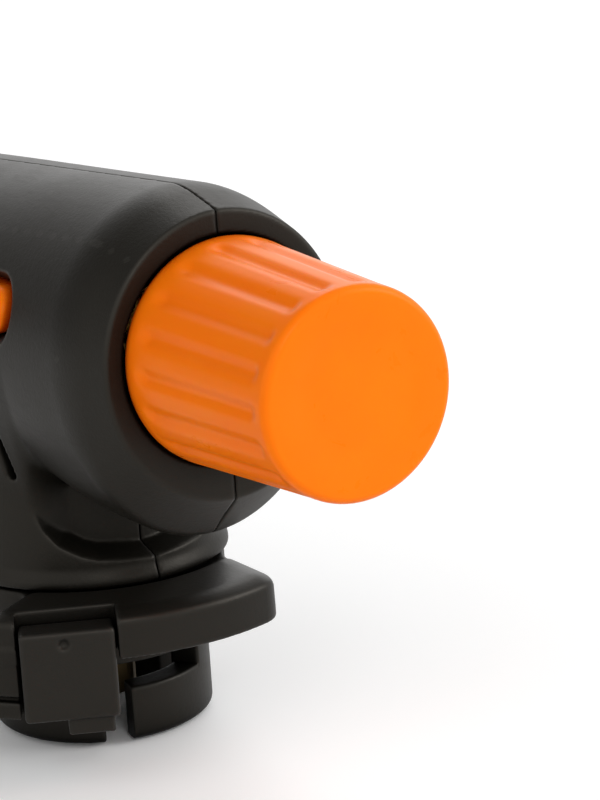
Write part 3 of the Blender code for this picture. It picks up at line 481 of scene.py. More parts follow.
TURNED, DRAWN = (4, 1, 1), (0.06, 1, 1)      # noise stretch: lines round x, lines along x
BLACK = plastic_black("housing_black", (0.0078, 0.0068, 0.005), rough=0.40, grain=0.5, spec=0.28)
BLACK_BASE = plastic_black("base_black", (0.0068, 0.006, 0.0047), rough=0.38, grain=0.35,
                           spec=0.27)
KEY_BLACK = plastic_black("key_black", (0.0088, 0.008, 0.0066), rough=0.44, grain=0.6, spec=0.3)
ORANGE = plastic_orange("knob_orange", (1.0, 0.188, 0.002), rough=0.30)
ORANGE_BTN = plastic_orange("button_orange", (1.0, 0.195, 0.002), rough=0.27)
BRASS = metal("turned_brass", (0.78, 0.57, 0.27), rough=0.26, stretch=TURNED)
# a darker, rougher copy of the brass: painted shade for the inlet stem, which sits in the
# collar's shaded slot
BRASS_PAINTED_SHADE = metal("brass_painted_shade", (0.2, 0.14, 0.065), rough=0.48, stretch=TURNED)
ZINC = metal("zinc_plated", (0.66, 0.66, 0.68), rough=0.28, lines=0.5)
STEEL = metal("stainless_satin", (0.62, 0.61, 0.59), rough=0.24, stretch=DRAWN, lines=0.6)
TUBE = metal("stainless_heat_tinted", (0.63, 0.62, 0.6), rough=0.22, stretch=DRAWN, lines=0.7,
             tint=heat_tint)
SPRING = metal("spring_steel", (0.55, 0.55, 0.56), rough=0.3)
RUBBER = plain("nitrile_rubber_black", (0.018, 0.018, 0.019), rough=0.62, scale=1800)
FIBRE = plain("fibre_washer_tan", (0.5, 0.44, 0.35), rough=0.85, scale=1400, depth=0.00012,
              strength=0.6, spread=0.2)
CERAMIC = plain("ceramic_white", (0.82, 0.8, 0.74), rough=0.42, scale=2400, depth=0.00004,
                strength=0.25, spread=0.05)
PIEZO = plain("piezo_case_black", (0.05, 0.05, 0.055), rough=0.38, scale=1900)
WHITE = plain("plunger_white", (0.78, 0.78, 0.74), rough=0.36, scale=1900, depth=0.00004,
              strength=0.2, spread=0.05)
LEAD = plain("lead_red", (0.5, 0.035, 0.02), rough=0.45, scale=1600, spread=0.08)

# ------------------------------------------------------------------ housing halves
# ovals at the two ends of the rear cone: half width, half height, centre above the barrel axis
RING_W, RING_H, RING_ZC = 13.4, 14.4, -0.57
CONE_W, CONE_H, CONE_ZC = 14.9, 17.55, -2.4
CONE_X = -26.3
WALL = 1.8
NECK_R = 14.1
POST_TOP, POST_FOOT = 29.5, 20.0             # the four base screw posts in the neck
VENTS = (-7.4, -2.9, 1.6, 6.1)               # x of the upright slots in the left half
VENT_Z0, VENT_Z1, VENT_HALF = 29.9, 40.6, 0.62
# lower edge of the neck's hollow: degrees from the rear, z
HOLLOW_TURN = (0.0, 25.0, 32.0, 41.0, 47.0, 53.0, 60.0)
HOLLOW_Z = (20.7, 21.2, 21.7, 22.8, 24.2, 26.6, 29.0)


def oval_distance(y, z, width, height):
    ratio = np.sqrt((y / width) ** 2 + (z / height) ** 2) + 1e-6
    slope = np.sqrt((y / width ** 2) ** 2 + (z / height ** 2) ** 2) + 1e-6
    near = (ratio - 1) * np.minimum(width, height)
    return np.where(ratio > 0.3, ratio * (ratio - 1) / slope, near)


def barrel(x, y, z):
    top = 15.4 - 0.07 * (np.minimum(x, 30.0) + 24.0)
    bottom = -19.9 + 6.6 * smooth(x, -22.0, 18.0)
    width = 15.0 - 0.7 * smooth(x, -20.0, 18.0) - 1.1 * smooth(x, 14.0, 44.0)
    return oval_distance(y, z - BARREL_Z - (top + bottom) / 2, width, (top - bottom) / 2)


def rear_cone(x, y, z):
    part = (x - SHELL_REAR) / (CONE_X - SHELL_REAR)
    return oval_distance(y, z - BARREL_Z - (RING_ZC + (CONE_ZC - RING_ZC) * part),
                         RING_W + (CONE_W - RING_W) * part, RING_H + (CONE_H - RING_H) * part)


def neck_radius(x, y, z):
    """The neck's radius: a small foot, and a crescent hollow round its rear under the barrel."""
    turn = np.abs(rear_angle(x, y))
    low = np.interp(turn, HOLLOW_TURN, HOLLOW_Z)
    hollow = 2.9 * (1 - smooth(turn, 36.0, 54.0)) * smooth(z, low - 0.25, low + 1.1)
    foot = 0.45 * (1 - smooth(z, NECK_FOOT + 0.5, NECK_FOOT + 2.2))
    return NECK_R + foot - hollow


def housing_outer(x, y, z):
    body = meet(barrel(x, y, z), rear_cone(np.minimum(x, 0.0), y, z), 0.7)
    body = meet(body, SHELL_REAR - x, 0.28)
    body = meet(body, x - SHELL_FRONT, 1.2)
    neck = (np.hypot(x, y) - neck_radius(x, y, z)) * 0.85
    neck = meet(neck, NECK_FOOT - z, 0.3)
    neck = meet(neck, z - BARREL_Z, 1.0)
    turn = np.abs(rear_angle(x, y))
    sides = smooth(turn, 32.0, 52.0) * (1 - smooth(turn, 112.0, 130.0))
    return join(body, neck, 0.4 + 4.8 * sides + 2.6 * smooth(turn, 125.0, 150.0))


def housing_inner(x, y, z):
    ends = np.maximum(SHELL_REAR + WALL + 0.2 - x, x - SHELL_FRONT + WALL)
    room = np.maximum(housing_outer(x, y, z) + WALL, ends)
    return np.maximum(room, np.minimum(np.hypot(x, y) - 10.2, barrel(x, y, z) + WALL))


def stadium(x, z, x0, x1, mid_z, half):
    """A slot with round ends, from x0 to x1."""
    return np.hypot(x - np.clip(x, x0 + half, x1 - half), z - mid_z) - half


def housing_posts(x, y, z, side):
    """Screw posts across the housing and in the neck, and the neck's floor."""
    posts = np.full_like(x, 99.0, dtype=float)
    for screw_x, screw_z, head_y in SCREWS:
        across = np.hypot(x - screw_x, z - screw_z)
        posts = np.minimum(posts, across - 2.9)
        if side < 0:                         # the seat under each counterbore
            posts = np.minimum(posts, np.maximum(across - 4.3, y - head_y - 3.5))
    for screw_x, screw_y in BASE_SCREWS:
        post = np.hypot(x - screw_x, y - screw_y) - 2.5
        height = np.maximum(POST_FOOT - z, z - POST_TOP)
        posts = np.minimum(posts, np.maximum(post, height))
    radius = np.hypot(x, y)
    floor = np.maximum(np.maximum(radius - 13.5, NECK_FOOT - z), z - NECK_FOOT - 2.6)
    return np.minimum(posts, meet(floor, BORE_R - radius, 0.3))


def left_openings(shape, x, y, z):
    """Blind screw holes, the button's opening with its flared rim, and the vents."""
    for screw_x, screw_z, _ in SCREWS:
        hole = np.hypot(x - screw_x, z - screw_z) - 1.5
        shape = np.maximum(shape, -np.maximum(hole, y - 7.0))
    opening = stadium(x, z, BUTTON_X0 - 0.3, BUTTON_X1 + 0.3, BUTTON_Z, BUTTON_HALF + 0.3)
    shape = cut(shape, np.maximum(opening, 6.0 - y), 0.25)
    skin = barrel(x, y, z)
    flare = np.maximum(opening - 1.1 - 1.0 * skin, -skin - 1.0) * 0.75
    shape = cut(shape, np.maximum(flare, 8.0 - y), 0.2)
    for vent_x in VENTS:
        middle_z = np.clip(z, VENT_Z0 + VENT_HALF, VENT_Z1 - VENT_HALF)
        slot = np.hypot(x - vent_x, z - middle_z) - VENT_HALF
        shape = cut(shape, np.maximum(slot, 6.3 - y), 0.2)
    return shape


def right_openings(shape, x, y, z):
    """Counterbored screw holes."""
    for screw_x, screw_z, head_y in SCREWS:
        across = np.hypot(x - screw_x, z - screw_z)
        shape = cut(shape, np.maximum(across - 3.1, y - head_y - 2.2), 0.3)
        shape = np.maximum(shape, 1.6 - across)
    return shape


def housing(x, y, z, side):
    """One half of the housing: side is 1 for the left, -1 for the right."""
    outer = housing_outer(x, y, z)
    shape = cut(outer, housing_inner(x, y, z), 0.5)
    shape = join(shape, np.maximum(housing_posts(x, y, z, side), outer + 0.8), 0.4)
    radius = np.hypot(y, z - BARREL_Z)
    # rear mouth, bore along the axis, front mouth
    shape = cut(shape, np.maximum(radius - 11.42, x - SHELL_REAR - 3.2), 0.16)
    shape = cut(shape, np.maximum(np.maximum(radius - 5.5, x - 7.0), -19.5 - x), 0.2)
    shape = cut(shape, np.maximum(radius - 10.3, SHELL_FRONT - WALL - 1.5 - x), 0.4)
    openings = right_openings if side < 0 else left_openings
    shape = openings(shape, x, y, z)
    # the seam is wider at the rear and on the neck
    rear = np.where(z > BARREL_Z, 1 - smooth(x, SHELL_REAR + 0.4, SHELL_REAR + 1.4),
                    1 - smooth(x, -28.0, -25.6))
    wide = np.maximum(rear, 1 - smooth(z, 27.0, 31.0))
    gap = 0.006 + 0.045 * wide * smooth(outer, -0.9, -0.3)
    return meet(shape, gap - y * side, 0.03)


STEP = 0.25
solid("left_housing_shell", "left_housing", lambda x, y, z: housing(x, y, z, 1),
      (SHELL_REAR - 1, -0.5, NECK_FOOT - 1), (SHELL_FRONT + 1, 16, BARREL_Z + 17), STEP, BLACK)
solid("right_housing_shell", "right_housing", lambda x, y, z: housing(x, y, z, -1),
      (SHELL_REAR - 1, -16, NECK_FOOT - 1), (SHELL_FRONT + 1, 0.5, BARREL_Z + 17),
      STEP * 1.15, BLACK)

# ------------------------------------------------------------------ base plate, key and collar
PLATE_Z0, RIM_Z, PLATE_TOP = 13.6, 17.7, 18.5   # underside, top of the rim's wall, top
RIM_RUN, RIM_RISE = 0.426, 0.905             # direction of the rim's sloped edge
KEY_TURN = math.radians(26.0)                # from the rear towards the left
KEY_SHIFT, KEY_HALF = 3.8, 4.8
KEY_INNER, KEY_FACE = 20.8, 24.4             # from the cartridge axis
KEY_Z0, KEY_Z1 = 7.8, 17.2


def half_plane(x, y, angle):
    """Distance past a line through the axis; its outward normal turns from +x towards +y."""
    return x * math.cos(math.radians(angle)) + y * math.sin(math.radians(angle))


def key_frame(x, y):
    """Distances outwards from the axis and across, as the key faces."""
    cosine, sine = math.cos(KEY_TURN), math.sin(KEY_TURN)
    return x * -cosine + y * sine, x * sine + y * cosine - KEY_SHIFT


def rounded_box(x, y, z, half_x, half_y, half_z, radius):
    """A box round the origin."""
    over = [np.abs(x) - half_x + radius, np.abs(y) - half_y + radius,
            np.abs(z) - half_z + radius]
    out = np.sqrt(np.maximum(over[0], 0) ** 2 + np.maximum(over[1], 0) ** 2
                  + np.maximum(over[2], 0) ** 2)
    deepest = np.maximum(over[0], np.maximum(over[1], over[2]))
    return out + np.minimum(deepest, 0) - radius


def rim(x, y, z):
    """A disc whose wall leans out slightly downwards, with a sloped upper edge."""
    radius = np.hypot(x, y)
    wall = radius - (PLATE_R + 0.12 * np.clip((17.7 - z) / 4.1, 0, 1) - 0.12)
    cone = (radius - 22.3) * RIM_RUN + (z - PLATE_TOP) * RIM_RISE
    return meet(meet(wall, cone, 0.5), z - PLATE_TOP, 0.35)


def flange(x, y, z):
    radius = np.hypot(x, y)
    right_edge = -y - 10.3 + RIM_RUN * np.maximum(z - RIM_Z, 0) * 2.0
    rear = meet(meet(right_edge, x + 1.0, 2.0), half_plane(x, y, 33.0), 2.5)
    front = meet(half_plane(x, y, 150.0), half_plane(x, y, 210.0), 2.5)
    tabs = meet(join(rear, front, 0.5), rim(x, y, z), 2.6)
    hub = meet(radius - 14.0, z - PLATE_TOP, 0.4)
    shape = join(tabs, hub, 1.4)
    shape = meet(shape, PLATE_Z0 - z, 0.4)
    shape = cut(shape, meet(radius - 15.6, NECK_FOOT - 0.35 - z, 0.4), 0.5)
    # the grooved skirt under the rim, at the rear left
    turn = rear_angle(x, y)
    skirt = np.maximum(np.maximum(radius - PLATE_R, 21.4 - radius),
                       np.maximum(SKIRT_Z0 - z, z - 15.0))
    skirt = np.maximum(skirt, np.maximum((47.5 - turn) * 0.4, (turn - 60.0) * 0.4))
    groove = np.maximum(np.abs(z - 9.7) - 0.3, PLATE_R - 0.7 - radius)
    shape = join(shape, cut(skirt, groove, 0.2), 0.5)
    # the key's notch and the pocket for its tongue
    out, across = key_frame(x, y)
    notch = rounded_box(out - 25.5, across, z - 16.0, 5.0, KEY_HALF + 0.3, 12.0, 0.2)
    shape = cut(shape, notch, 0.2)
    pocket = rounded_box(out - 18.8, across, z - 15.4, 2.3, 2.3, 1.3, 0.1)
    shape = np.maximum(shape, -pocket)
    return base_holes(meet(shape, BORE_R - radius, 0.2), x, y)


def key(x, y, z):
    """A block with a small foot, an inward tongue and a dimple in its outer face."""
    out, across = key_frame(x, y)
    shape = rounded_box(out - (KEY_FACE + KEY_INNER) / 2, across, z - (KEY_Z0 + KEY_Z1) / 2,
                        (KEY_FACE - KEY_INNER) / 2, KEY_HALF, (KEY_Z1 - KEY_Z0) / 2, 0.45)
    foot = rounded_box(out - 22.75, across + 1.85, z - 7.5, 1.15, 2.35, 1.4, 0.25)
    tongue = rounded_box(out - 19.3, across, z - 15.4, 2.3, 2.0, 1.05, 0.2)
    shape = join(join(shape, foot, 0.3), tongue, 0.3)
    dimple = np.sqrt((out - KEY_FACE - 0.2) ** 2 + (across - 0.35) ** 2 + (z - 15.9) ** 2)
    return cut(shape, dimple - 0.62, 0.25)


def collar(x, y, z):
    radius = np.hypot(x, y)
    shape = meet(radius - COLLAR_R, -z, 0.9)
    shape = meet(shape, (radius - COLLAR_R + 0.9) * 0.55 - z * 0.83, 0.5)
    shape = meet(shape, z - COLLAR_TOP, 0.3)
    shape = cut(shape, np.maximum(radius - 8.6, z - 9.0), 0.35)
    shape = np.maximum(shape, BORE_R - radius)
    for k in range(3):                       # bayonet slots, each with an entry from below
        turn = (rear_angle(x, y) - 120.0 * k + 180.0) % 360.0 - 180.0
        slot = np.maximum(np.maximum(-34.0 - turn, turn - 28.0) * 0.2,
                          np.maximum(6.1 - z, z - 8.8))
        entry = np.maximum(np.maximum(13.0 - turn, turn - 28.0) * 0.2, z - 7.0)
        shape = cut(shape, np.maximum(join(slot, entry, 0.3), 8.0 - radius), 0.3)
    return base_holes(shape, x, y)


BASE_STEP = 0.24
solid("base_plate", "base_flange", flange, (-PLATE_R - 1, -22, SKIRT_Z0 - 1),
      (PLATE_R + 1, 22, SHELL_Z0 + 0.6), BASE_STEP, BLACK_BASE)
solid("key_block", "alignment_key", key, (-24.5, 5, 6), (-11, 21, 19), BASE_STEP * 0.8,
      KEY_BLACK)
solid("bayonet_socket", "bayonet_collar", collar, (-COLLAR_R - 1, -COLLAR_R - 1, -1),
      (COLLAR_R + 1, COLLAR_R + 1, COLLAR_TOP + 1), BASE_STEP, BLACK_BASE)

# ------------------------------------------------------------------ knob
FLUTES, FLUTE_DEPTH = 18, 0.45
KNOB_STEPS = FLUTES * 20
KNOB_EDGE = 0.8                              # rounding of the rear edge
# the dished rear face: depth from the knob's rear, radius
KNOB_DISH = [(0.155, 2.0), (0.15, 4.0), (0.145, 5.6), (0.12, 6.3), (0.06, 6.9), (0.015, 7.4),
             (0.0, 8.0), (0.0, 8.8)]
# the front end, hollow and stem with its socket: x, radius
KNOB_INSIDE = [(KNOB_FRONT, 9.2), (KNOB_FRONT - 0.6, 8.8), (-51.0, 8.8), (-52.6, 7.8),
               (-52.6, 3.7), (-33.2, 3.7), (-33.0, 3.5), (-33.0, 1.9), (-48.6, 1.9)]
KNOB_SOCKET_X = -48.6


def grip_radius(x):
    radius = 10.25 + 1.09 * min(1.0, (x - KNOB_REAR) / 22.3)
    past = x + 32.4                          # into the rounded front edge
    if past > 0:
        radius -= 2.0 - math.sqrt(max(0.0, 4.0 - past ** 2))
    return radius


def make_knob():
    turn = np.arange(KNOB_STEPS) * 2 * math.pi / KNOB_STEPS
    valley = (0.5 * (1 + np.cos(FLUTES * turn))) ** 2.2
    rows = [(KNOB_REAR + depth, radius) for depth, radius in KNOB_DISH]
    for k in range(9):
        angle = math.pi / 2 * k / 8
        rows.append((KNOB_REAR + KNOB_EDGE * (1 - math.cos(angle)), 9.45
                     + KNOB_EDGE * math.sin(angle) + 0.05 * KNOB_EDGE * (1 - math.cos(angle))))
    for x in np.concatenate([np.linspace(KNOB_REAR + 1.0, KNOB_REAR + 3.6, 12),
                             np.linspace(KNOB_REAR + 4.4, -36.6, 14),
                             np.linspace(-36.0, KNOB_FRONT, 22)]):
        depth = FLUTE_DEPTH * smooth(x, KNOB_REAR + 1.2, KNOB_REAR + 2.6)
        depth *= 1 - smooth(x, -35.6, -33.2)
        rows.append((x, grip_radius(x) - depth * valley))
    rows += KNOB_INSIDE

    verts = [(KNOB_REAR + 0.16, 0, BARREL_Z)]
    for x, radius in rows:
        verts += list(zip(np.full(KNOB_STEPS, x), radius * np.cos(turn),
                          BARREL_Z + radius * np.sin(turn)))
    last = len(verts)
    verts.append((KNOB_SOCKET_X, 0, BARREL_Z))
    faces = [(0, 1 + (i + 1) % KNOB_STEPS, 1 + i) for i in range(KNOB_STEPS)]
    for k in range(len(rows) - 1):
        faces += band(1 + k * KNOB_STEPS, 1 + (k + 1) * KNOB_STEPS, KNOB_STEPS)
    ring = last - KNOB_STEPS
    faces += [(ring + i, ring + (i + 1) % KNOB_STEPS, last) for i in range(KNOB_STEPS)]
    mesh_object("fluted_knob", verts, faces, ORANGE, "control_knob", "knob",
                angle=50)


make_knob()


# ------------------------------------------------------------------ ignition button
def button(x, y, z):
    """A round-ended button that follows the barrel, on a flat shelf inside the housing."""
    shape = stadium(x, z, BUTTON_X0, BUTTON_X1, BUTTON_Z, BUTTON_HALF)
    shape = meet(shape, np.maximum(barrel(x, y, z) - 0.55, y - BUTTON_Y1), 0.9)
    shape = np.maximum(shape, 9.0 - y)
    shelf = rounded_box(x - (BUTTON_X0 + BUTTON_X1 - 0.4) / 2, y - 8.85, z - BARREL_Z - 2.95,
                        (BUTTON_X1 - BUTTON_X0 + 2.8) / 2, 0.35, 4.25, 0.12)
    return join(shape, shelf, 0.25)


solid("push_button", "ignition_button", button, (BUTTON_X0 - 2.6, 7.8, BARREL_Z - 2.4),
      (BUTTON_X1 + 2.4, BUTTON_Y1 + 0.6, BARREL_Z + 8.2), 0.22, ORANGE_BTN,
      "button")

# ------------------------------------------------------------------ turned metal pieces
SHARP = 28                                   # degrees
TAPER_X = 108.0                              # where the burner tube starts to close in
SPARK_OFF = 6.6                              # spark electrode above the barrel axis
SPARK_Z = BARREL_Z + SPARK_OFF


def lathe(name, profile, mat, node, steps, axis_z=BARREL_Z):
    """A closed profile of (radius, x) turned round an axis along x."""
    verts, faces = [], []
    for k, (radius, x) in enumerate(profile):
        faces += band(k * steps, (k + 1) % len(profile) * steps, steps)
        for i in range(steps):
            turn = 2 * math.pi * i / steps
            verts.append((x, radius * math.cos(turn), axis_z + radius * math.sin(turn)))
    return mesh_object(name, verts, faces, mat, node, angle=SHARP)


def cutter(name, centre, radius, length, steps, turn):
    """An upright cylinder, turned by a matrix and set at centre."""
    work = bmesh.new()
    bmesh.ops.create_cone(work, cap_ends=True, segments=steps, radius1=radius * 0.001,
                          radius2=radius * 0.001, depth=length * 0.001)
    mesh = bpy.data.meshes.new(name)
    work.to_mesh(mesh)
    work.free()
    obj = bpy.data.objects.new(name, mesh)
    bpy.context.scene.collection.objects.link(obj)
    x, y, z = centre
    place = Vector(((x + AXIS_X) * 0.001, y * 0.001, z * 0.001))
    obj.matrix_world = Matrix.Translation(place) @ turn
    return obj


def carve(obj, cutters):
    for tool in cutters:
        mod = obj.modifiers.new(tool.name, "BOOLEAN")
        mod.operation, mod.object, mod.solver = "DIFFERENCE", tool, "EXACT"
    bpy.context.view_layer.update()
    graph = bpy.context.evaluated_depsgraph_get()
    mesh = bpy.data.meshes.new_from_object(obj.evaluated_get(graph))
    obj.modifiers.clear()
    obj.data = mesh
    for tool in cutters:
        bpy.data.objects.remove(tool, do_unlink=True)
    mesh.set_sharp_from_angle(angle=math.radians(SHARP))


def tube_profile():
    """A straight tube whose mouth closes in with a rounded lip."""
    end = TUBE_X1 - 0.35 - TAPER_X
    profile = [(TUBE_R - 0.7, TUBE_X0 + 0.1), (TUBE_R - 0.6, TUBE_X0), (TUBE_R - 0.1, TUBE_X0),
               (TUBE_R, TUBE_X0 + 0.1)]
    profile += [(TUBE_R, TUBE_X0 + (TAPER_X - TUBE_X0) * k / 20) for k in range(1, 20)]
    for k in range(9):
        part = k / 8
        profile.append((TUBE_R - 1.0 * part ** 2.2, TAPER_X + end * part))
    profile += [(TUBE_R - 1.12, TUBE_X1 - 0.1), (TUBE_R - 1.3, TUBE_X1),
                (TUBE_R - 1.5, TUBE_X1 - 0.1), (TUBE_R - 1.62, TUBE_X1 - 0.4)]
    for k in range(1, 9):
        part = 1 - k / 8
        profile.append((TUBE_R - 0.7 - 0.92 * part ** 2.2, TAPER_X + end * part))
    return profile


def port_cutter(k):
    """Port 0, at the top, is wider and takes the electrode's insulator."""
    ring, radius = (SPARK_OFF, 1.88) if k == 0 else (6.8, 0.95)
    angle = math.pi / 2 + 2 * math.pi * k / 9
    centre = (86.0, ring * math.cos(angle), BARREL_Z + ring * math.sin(angle))
    return cutter(f"port_tool_{k}", centre, radius, length=8.0, steps=32,
                  turn=Matrix.Rotation(math.pi / 2, 4, "Y"))


tube = lathe("burner_tube_fine", tube_profile(), TUBE, "burner_tube", 160)
carve(tube, [cutter(f"air_hole_tool_{k}", (56.0, 0, BARREL_Z), radius=2.3, length=28.0,
                    steps=40, turn=Matrix.Rotation(math.pi * k / 3, 4, "X"))
             for k in range(3)])
lathe("nose_collar",
      [(10.3, 42.5), (10.5, 42.3), (12.3, 42.3), (12.5, 42.5), (12.5, 45.4), (12.42, 45.7),
       (11.45, 48.3), (11.2, 48.6), (10.5, 48.6), (10.3, 48.4)],
      STEEL, "nose_ring", 144)
lathe("mixer_tube_fine", [(3.75, 43.0), (4.15, 43.0), (4.15, 88.0), (3.75, 88.0)],
      STEEL, "mixer_tube", 72)
holder = lathe("flame_holder_fine",
               [(4.45, 85.1), (4.55, 85.0), (8.85, 85.0), (8.95, 85.1), (8.95, 86.9),
                (8.85, 87.0), (4.55, 87.0), (4.45, 86.9)],
               STEEL, "flame_holder", 120)
carve(holder, [port_cutter(k) for k in range(9)])
lathe("electrode_insulator_fine",
      [(0.75, 32.5), (0.85, 32.4), (1.3, 32.4), (1.6, 32.8), (1.6, 92.6), (1.5, 93.2),
       (1.1, 93.9), (0.9, 94.0), (0.75, 93.9)],
      CERAMIC, "electrode_insulator", 56, SPARK_Z)


# ------------------------------------------------------------------ wires
def wire(name, path, radius, mat, node, sides, fine):
    """A round steel wire on a smooth curve, with fine stations between given points."""
    given = [Vector(p) for p in path]
    points = []
    for i in range(len(given) - 1):
        before, start, end = given[max(i - 1, 0)], given[i], given[i + 1]
        after = given[min(i + 2, len(given) - 1)]
        for k in range(fine):
            t = k / fine
            points.append(0.5 * ((2 * start) + (end - before) * t
                                 + (2 * before - 5 * start + 4 * end - after) * t ** 2
                                 + (3 * start - before - 3 * end + after) * t ** 3))
    points.append(given[-1])
    last = len(points) - 1
    tangents = [(points[min(i + 1, last)] - points[max(i - 1, 0)]).normalized()
                for i in range(last + 1)]
    verts, faces = [], []
    side = tangents[0].orthogonal().normalized()
    for point, tangent in zip(points, tangents):
        side = (side - tangent * side.dot(tangent)).normalized()
        up = tangent.cross(side)
        for k in range(sides):
            turn = 2 * math.pi * k / sides
            verts.append(tuple(point + (side * math.cos(turn) + up * math.sin(turn)) * radius))
    for i in range(last):
        faces += band(i * sides, (i + 1) * sides, sides)
    faces.append(tuple(range(sides)))
    faces.append(tuple(range(last * sides, (last + 1) * sides)))
    return mesh_object(name, verts, faces, mat, node, angle=40)


wire("spark_wire",
     [(32.7, 0, SPARK_Z), (60.0, 0, SPARK_Z), (94.0, 0, SPARK_Z), (97.0, 0, SPARK_Z + 0.1),
      (98.8, 0, SPARK_Z + 0.5), (100.0, 0, SPARK_Z + 1.2)],
     0.42, STEEL, "spark_electrode", sides=20, fine=8)

lo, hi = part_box("piezo_spring")
SPRING_X, SPRING_Z = middle(lo.x, hi.x) - AXIS_X, BARREL_Z + 7.2
COIL_R, COIL_Y0, COIL_LENGTH = 1.45, 3.9, 2.5
coil = [(SPRING_X + COIL_R * math.cos(2 * math.pi * i / 24), COIL_Y0 + COIL_LENGTH * i / 96,
         SPRING_Z + COIL_R * math.sin(2 * math.pi * i / 24)) for i in range(97)]
spring = wire("return_spring", coil, 0.2, SPRING, "piezo_spring", sides=10, fine=1)
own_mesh(spring)

# ------------------------------------------------------------------ finishes of kept CAD nodes
# the inlet stem takes the darkened brass, painted shade for its shaded slot
KEEP = {
    "valve_body": BRASS, "gland_nut": BRASS, "inlet_stem": BRASS_PAINTED_SHADE, "gas_tube": BRASS,
    "jet_holder": BRASS, "jet_nozzle": BRASS, "valve_spindle": ZINC, "burner_mount": ZINC,
    "retaining_clip": STEEL, "inlet_seal": RUBBER, "stem_seal": RUBBER,
    "spindle_seal": RUBBER, "heat_washer": FIBRE, "piezo_body": PIEZO,
    "piezo_plunger": WHITE, "ignition_lead": LEAD,
    **{f"{part}_screw_{k}": ZINC for part in ("base", "housing") for k in range(1, 5)}}
for name, mat in KEEP.items():
    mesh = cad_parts[name].data
    mesh.materials.clear()
    mesh.materials.append(mat)
    mesh.shade_smooth()
    mesh.set_sharp_from_angle(angle=math.radians(35))

# ------------------------------------------------------------------ floor
FLOOR_HALF, FLOOR_Z = 3.0, -0.0002           # metres


def grey(value):
    return (value, value, value)


def floor_material():
    """Brighter to the camera than to the light that it reflects."""
    tree = Nodes("studio_floor")
    camera_ray = tree.node("ShaderNodeLightPath").outputs["Is Camera Ray"]
    seen, lit = [tree.mix(tree.noise(scale=3, detail=2, rough=0.5), grey(dark), grey(light))
                 for dark, light in ((1.06, 1.11), (0.78, 0.82))]
    return tree.set(Base_Color=tree.mix(camera_ray, lit, seen), Roughness=0.8,
                    Specular_IOR_Level=0.1)


floor_mat = floor_material()
floor_mesh = bpy.data.meshes.new("studio_floor")
floor_mesh.from_pydata([(x * FLOOR_HALF, y * FLOOR_HALF, 0)
                        for x, y in ((-1, -1), (1, -1), (1, 1), (-1, 1))], [], [(0, 1, 2, 3)])
floor_mesh.materials.append(floor_mat)
floor = bpy.data.objects.new("studio_floor", floor_mesh)
floor.location.z = FLOOR_Z
bpy.context.scene.collection.objects.link(floor)
floor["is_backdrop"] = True

# ------------------------------------------------------------------ world
AMBIENT = 0.12
# soft glows: direction, cosine where it starts, cosine where it is full, strength
GLOWS = [((-0.66, -0.70, 0.27), 0.15, 0.9, 1.0), ((0.87, -0.46, 0.05), 0.6, 0.97, 1.25),
         ((-0.3, 0.9, 0.15), 0.25, 0.95, 1.0), ((0.35, -0.35, 0.87), 0.6, 0.97, 0.22)]


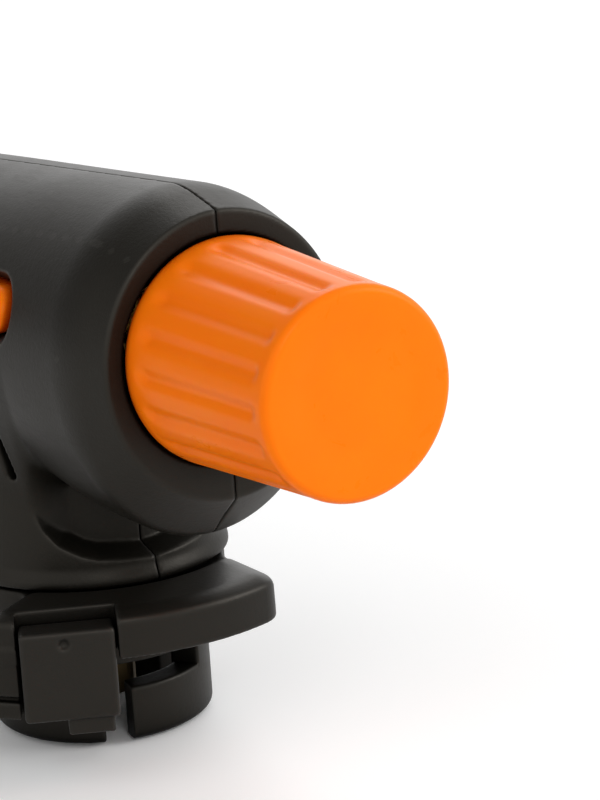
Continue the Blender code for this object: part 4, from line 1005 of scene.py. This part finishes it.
def make_world():
    """Glows on the product; plain white to the camera."""
    world = bpy.data.worlds.new("studio")
    bpy.context.scene.world = world
    world.use_nodes = True
    new, link = world.node_tree.nodes.new, world.node_tree.links.new
    direction = new("ShaderNodeTexCoord").outputs["Generated"]
    total = new("ShaderNodeMath")
    total.operation = "ADD"
    total.inputs[0].default_value = AMBIENT
    total.inputs[1].default_value = 0.0
    for way, start, full, power in GLOWS:
        aim = new("ShaderNodeVectorMath")
        aim.operation = "DOT_PRODUCT"
        aim.inputs[1].default_value = way
        link(direction, aim.inputs[0])
        glow = new("ShaderNodeMapRange")
        glow.interpolation_type = "SMOOTHSTEP"
        for i, value in enumerate((start, full, 0.0, power), 1):
            glow.inputs[i].default_value = value
        link(aim.outputs["Value"], glow.inputs[0])
        more = new("ShaderNodeMath")
        more.operation = "ADD"
        link(total.outputs[0], more.inputs[0])
        link(glow.outputs[0], more.inputs[1])
        total = more
    chosen = new("ShaderNodeMix")
    chosen.inputs[3].default_value = 1.0
    link(new("ShaderNodeLightPath").outputs["Is Camera Ray"], chosen.inputs[0])
    link(total.outputs[0], chosen.inputs[2])
    back = world.node_tree.nodes["Background"]
    back.inputs[0].default_value = (1, 1, 1, 1)
    link(chosen.outputs[0], back.inputs[1])


make_world()


# ------------------------------------------------------------------ lights, in metres
def area(name, place, target, size, power):
    data = bpy.data.lights.new(name, "AREA")
    data.shape = "RECTANGLE"
    data.size = data.size_y = size
    data.energy = power
    obj = bpy.data.objects.new(name, data)
    obj.location = place
    aim = Vector(target) - Vector(place)
    obj.rotation_euler = aim.to_track_quat("-Z", "Y").to_euler()
    bpy.context.scene.collection.objects.link(obj)


area("key_light", place=(-0.52, -0.62, 0.34), target=(-0.06, 0, 0.04), size=0.4, power=2.3)
area("top_light", place=(0.42, -0.34, 0.62), target=(-0.05, 0, 0.04), size=0.35, power=0.75)
area("edge_light", place=(-0.47, 0.14, 0.31), target=(-0.06, 0, 0.05), size=0.1, power=0.28)

bpy.context.scene.view_settings.view_transform = "Standard"

# ------------------------------------------------------------------ camera
AZIMUTH, ELEVATION, ROLL = 4.17037, 0.26287, -0.06562    # radians
FOCAL, SENSOR = 156.24, 36
CAMERA_PLACE = (-314.257, 162.267, 127.872)


def make_camera():
    back = np.array([math.sin(AZIMUTH) * math.cos(ELEVATION),
                     -math.cos(AZIMUTH) * math.cos(ELEVATION), math.sin(ELEVATION)])
    right = np.cross([0, 0, 1], back)
    right /= np.linalg.norm(right)
    up = np.cross(back, right)
    cosine, sine = math.cos(ROLL), math.sin(ROLL)
    turn = np.array([cosine * right + sine * up, -sine * right + cosine * up, back]).T
    x, y, z = CAMERA_PLACE
    place = ((x + AXIS_X) * 0.001, y * 0.001, z * 0.001)
    data = bpy.data.cameras.new("camera")
    camera = bpy.data.objects.new("camera", data)
    bpy.context.scene.collection.objects.link(camera)
    camera.matrix_world = Matrix([[*turn[i], place[i]] for i in range(3)] + [[0, 0, 0, 1]])
    data.sensor_width, data.lens, data.clip_start = SENSOR, FOCAL, 0.01
    bpy.context.scene.camera = camera


make_camera()

lo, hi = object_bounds()
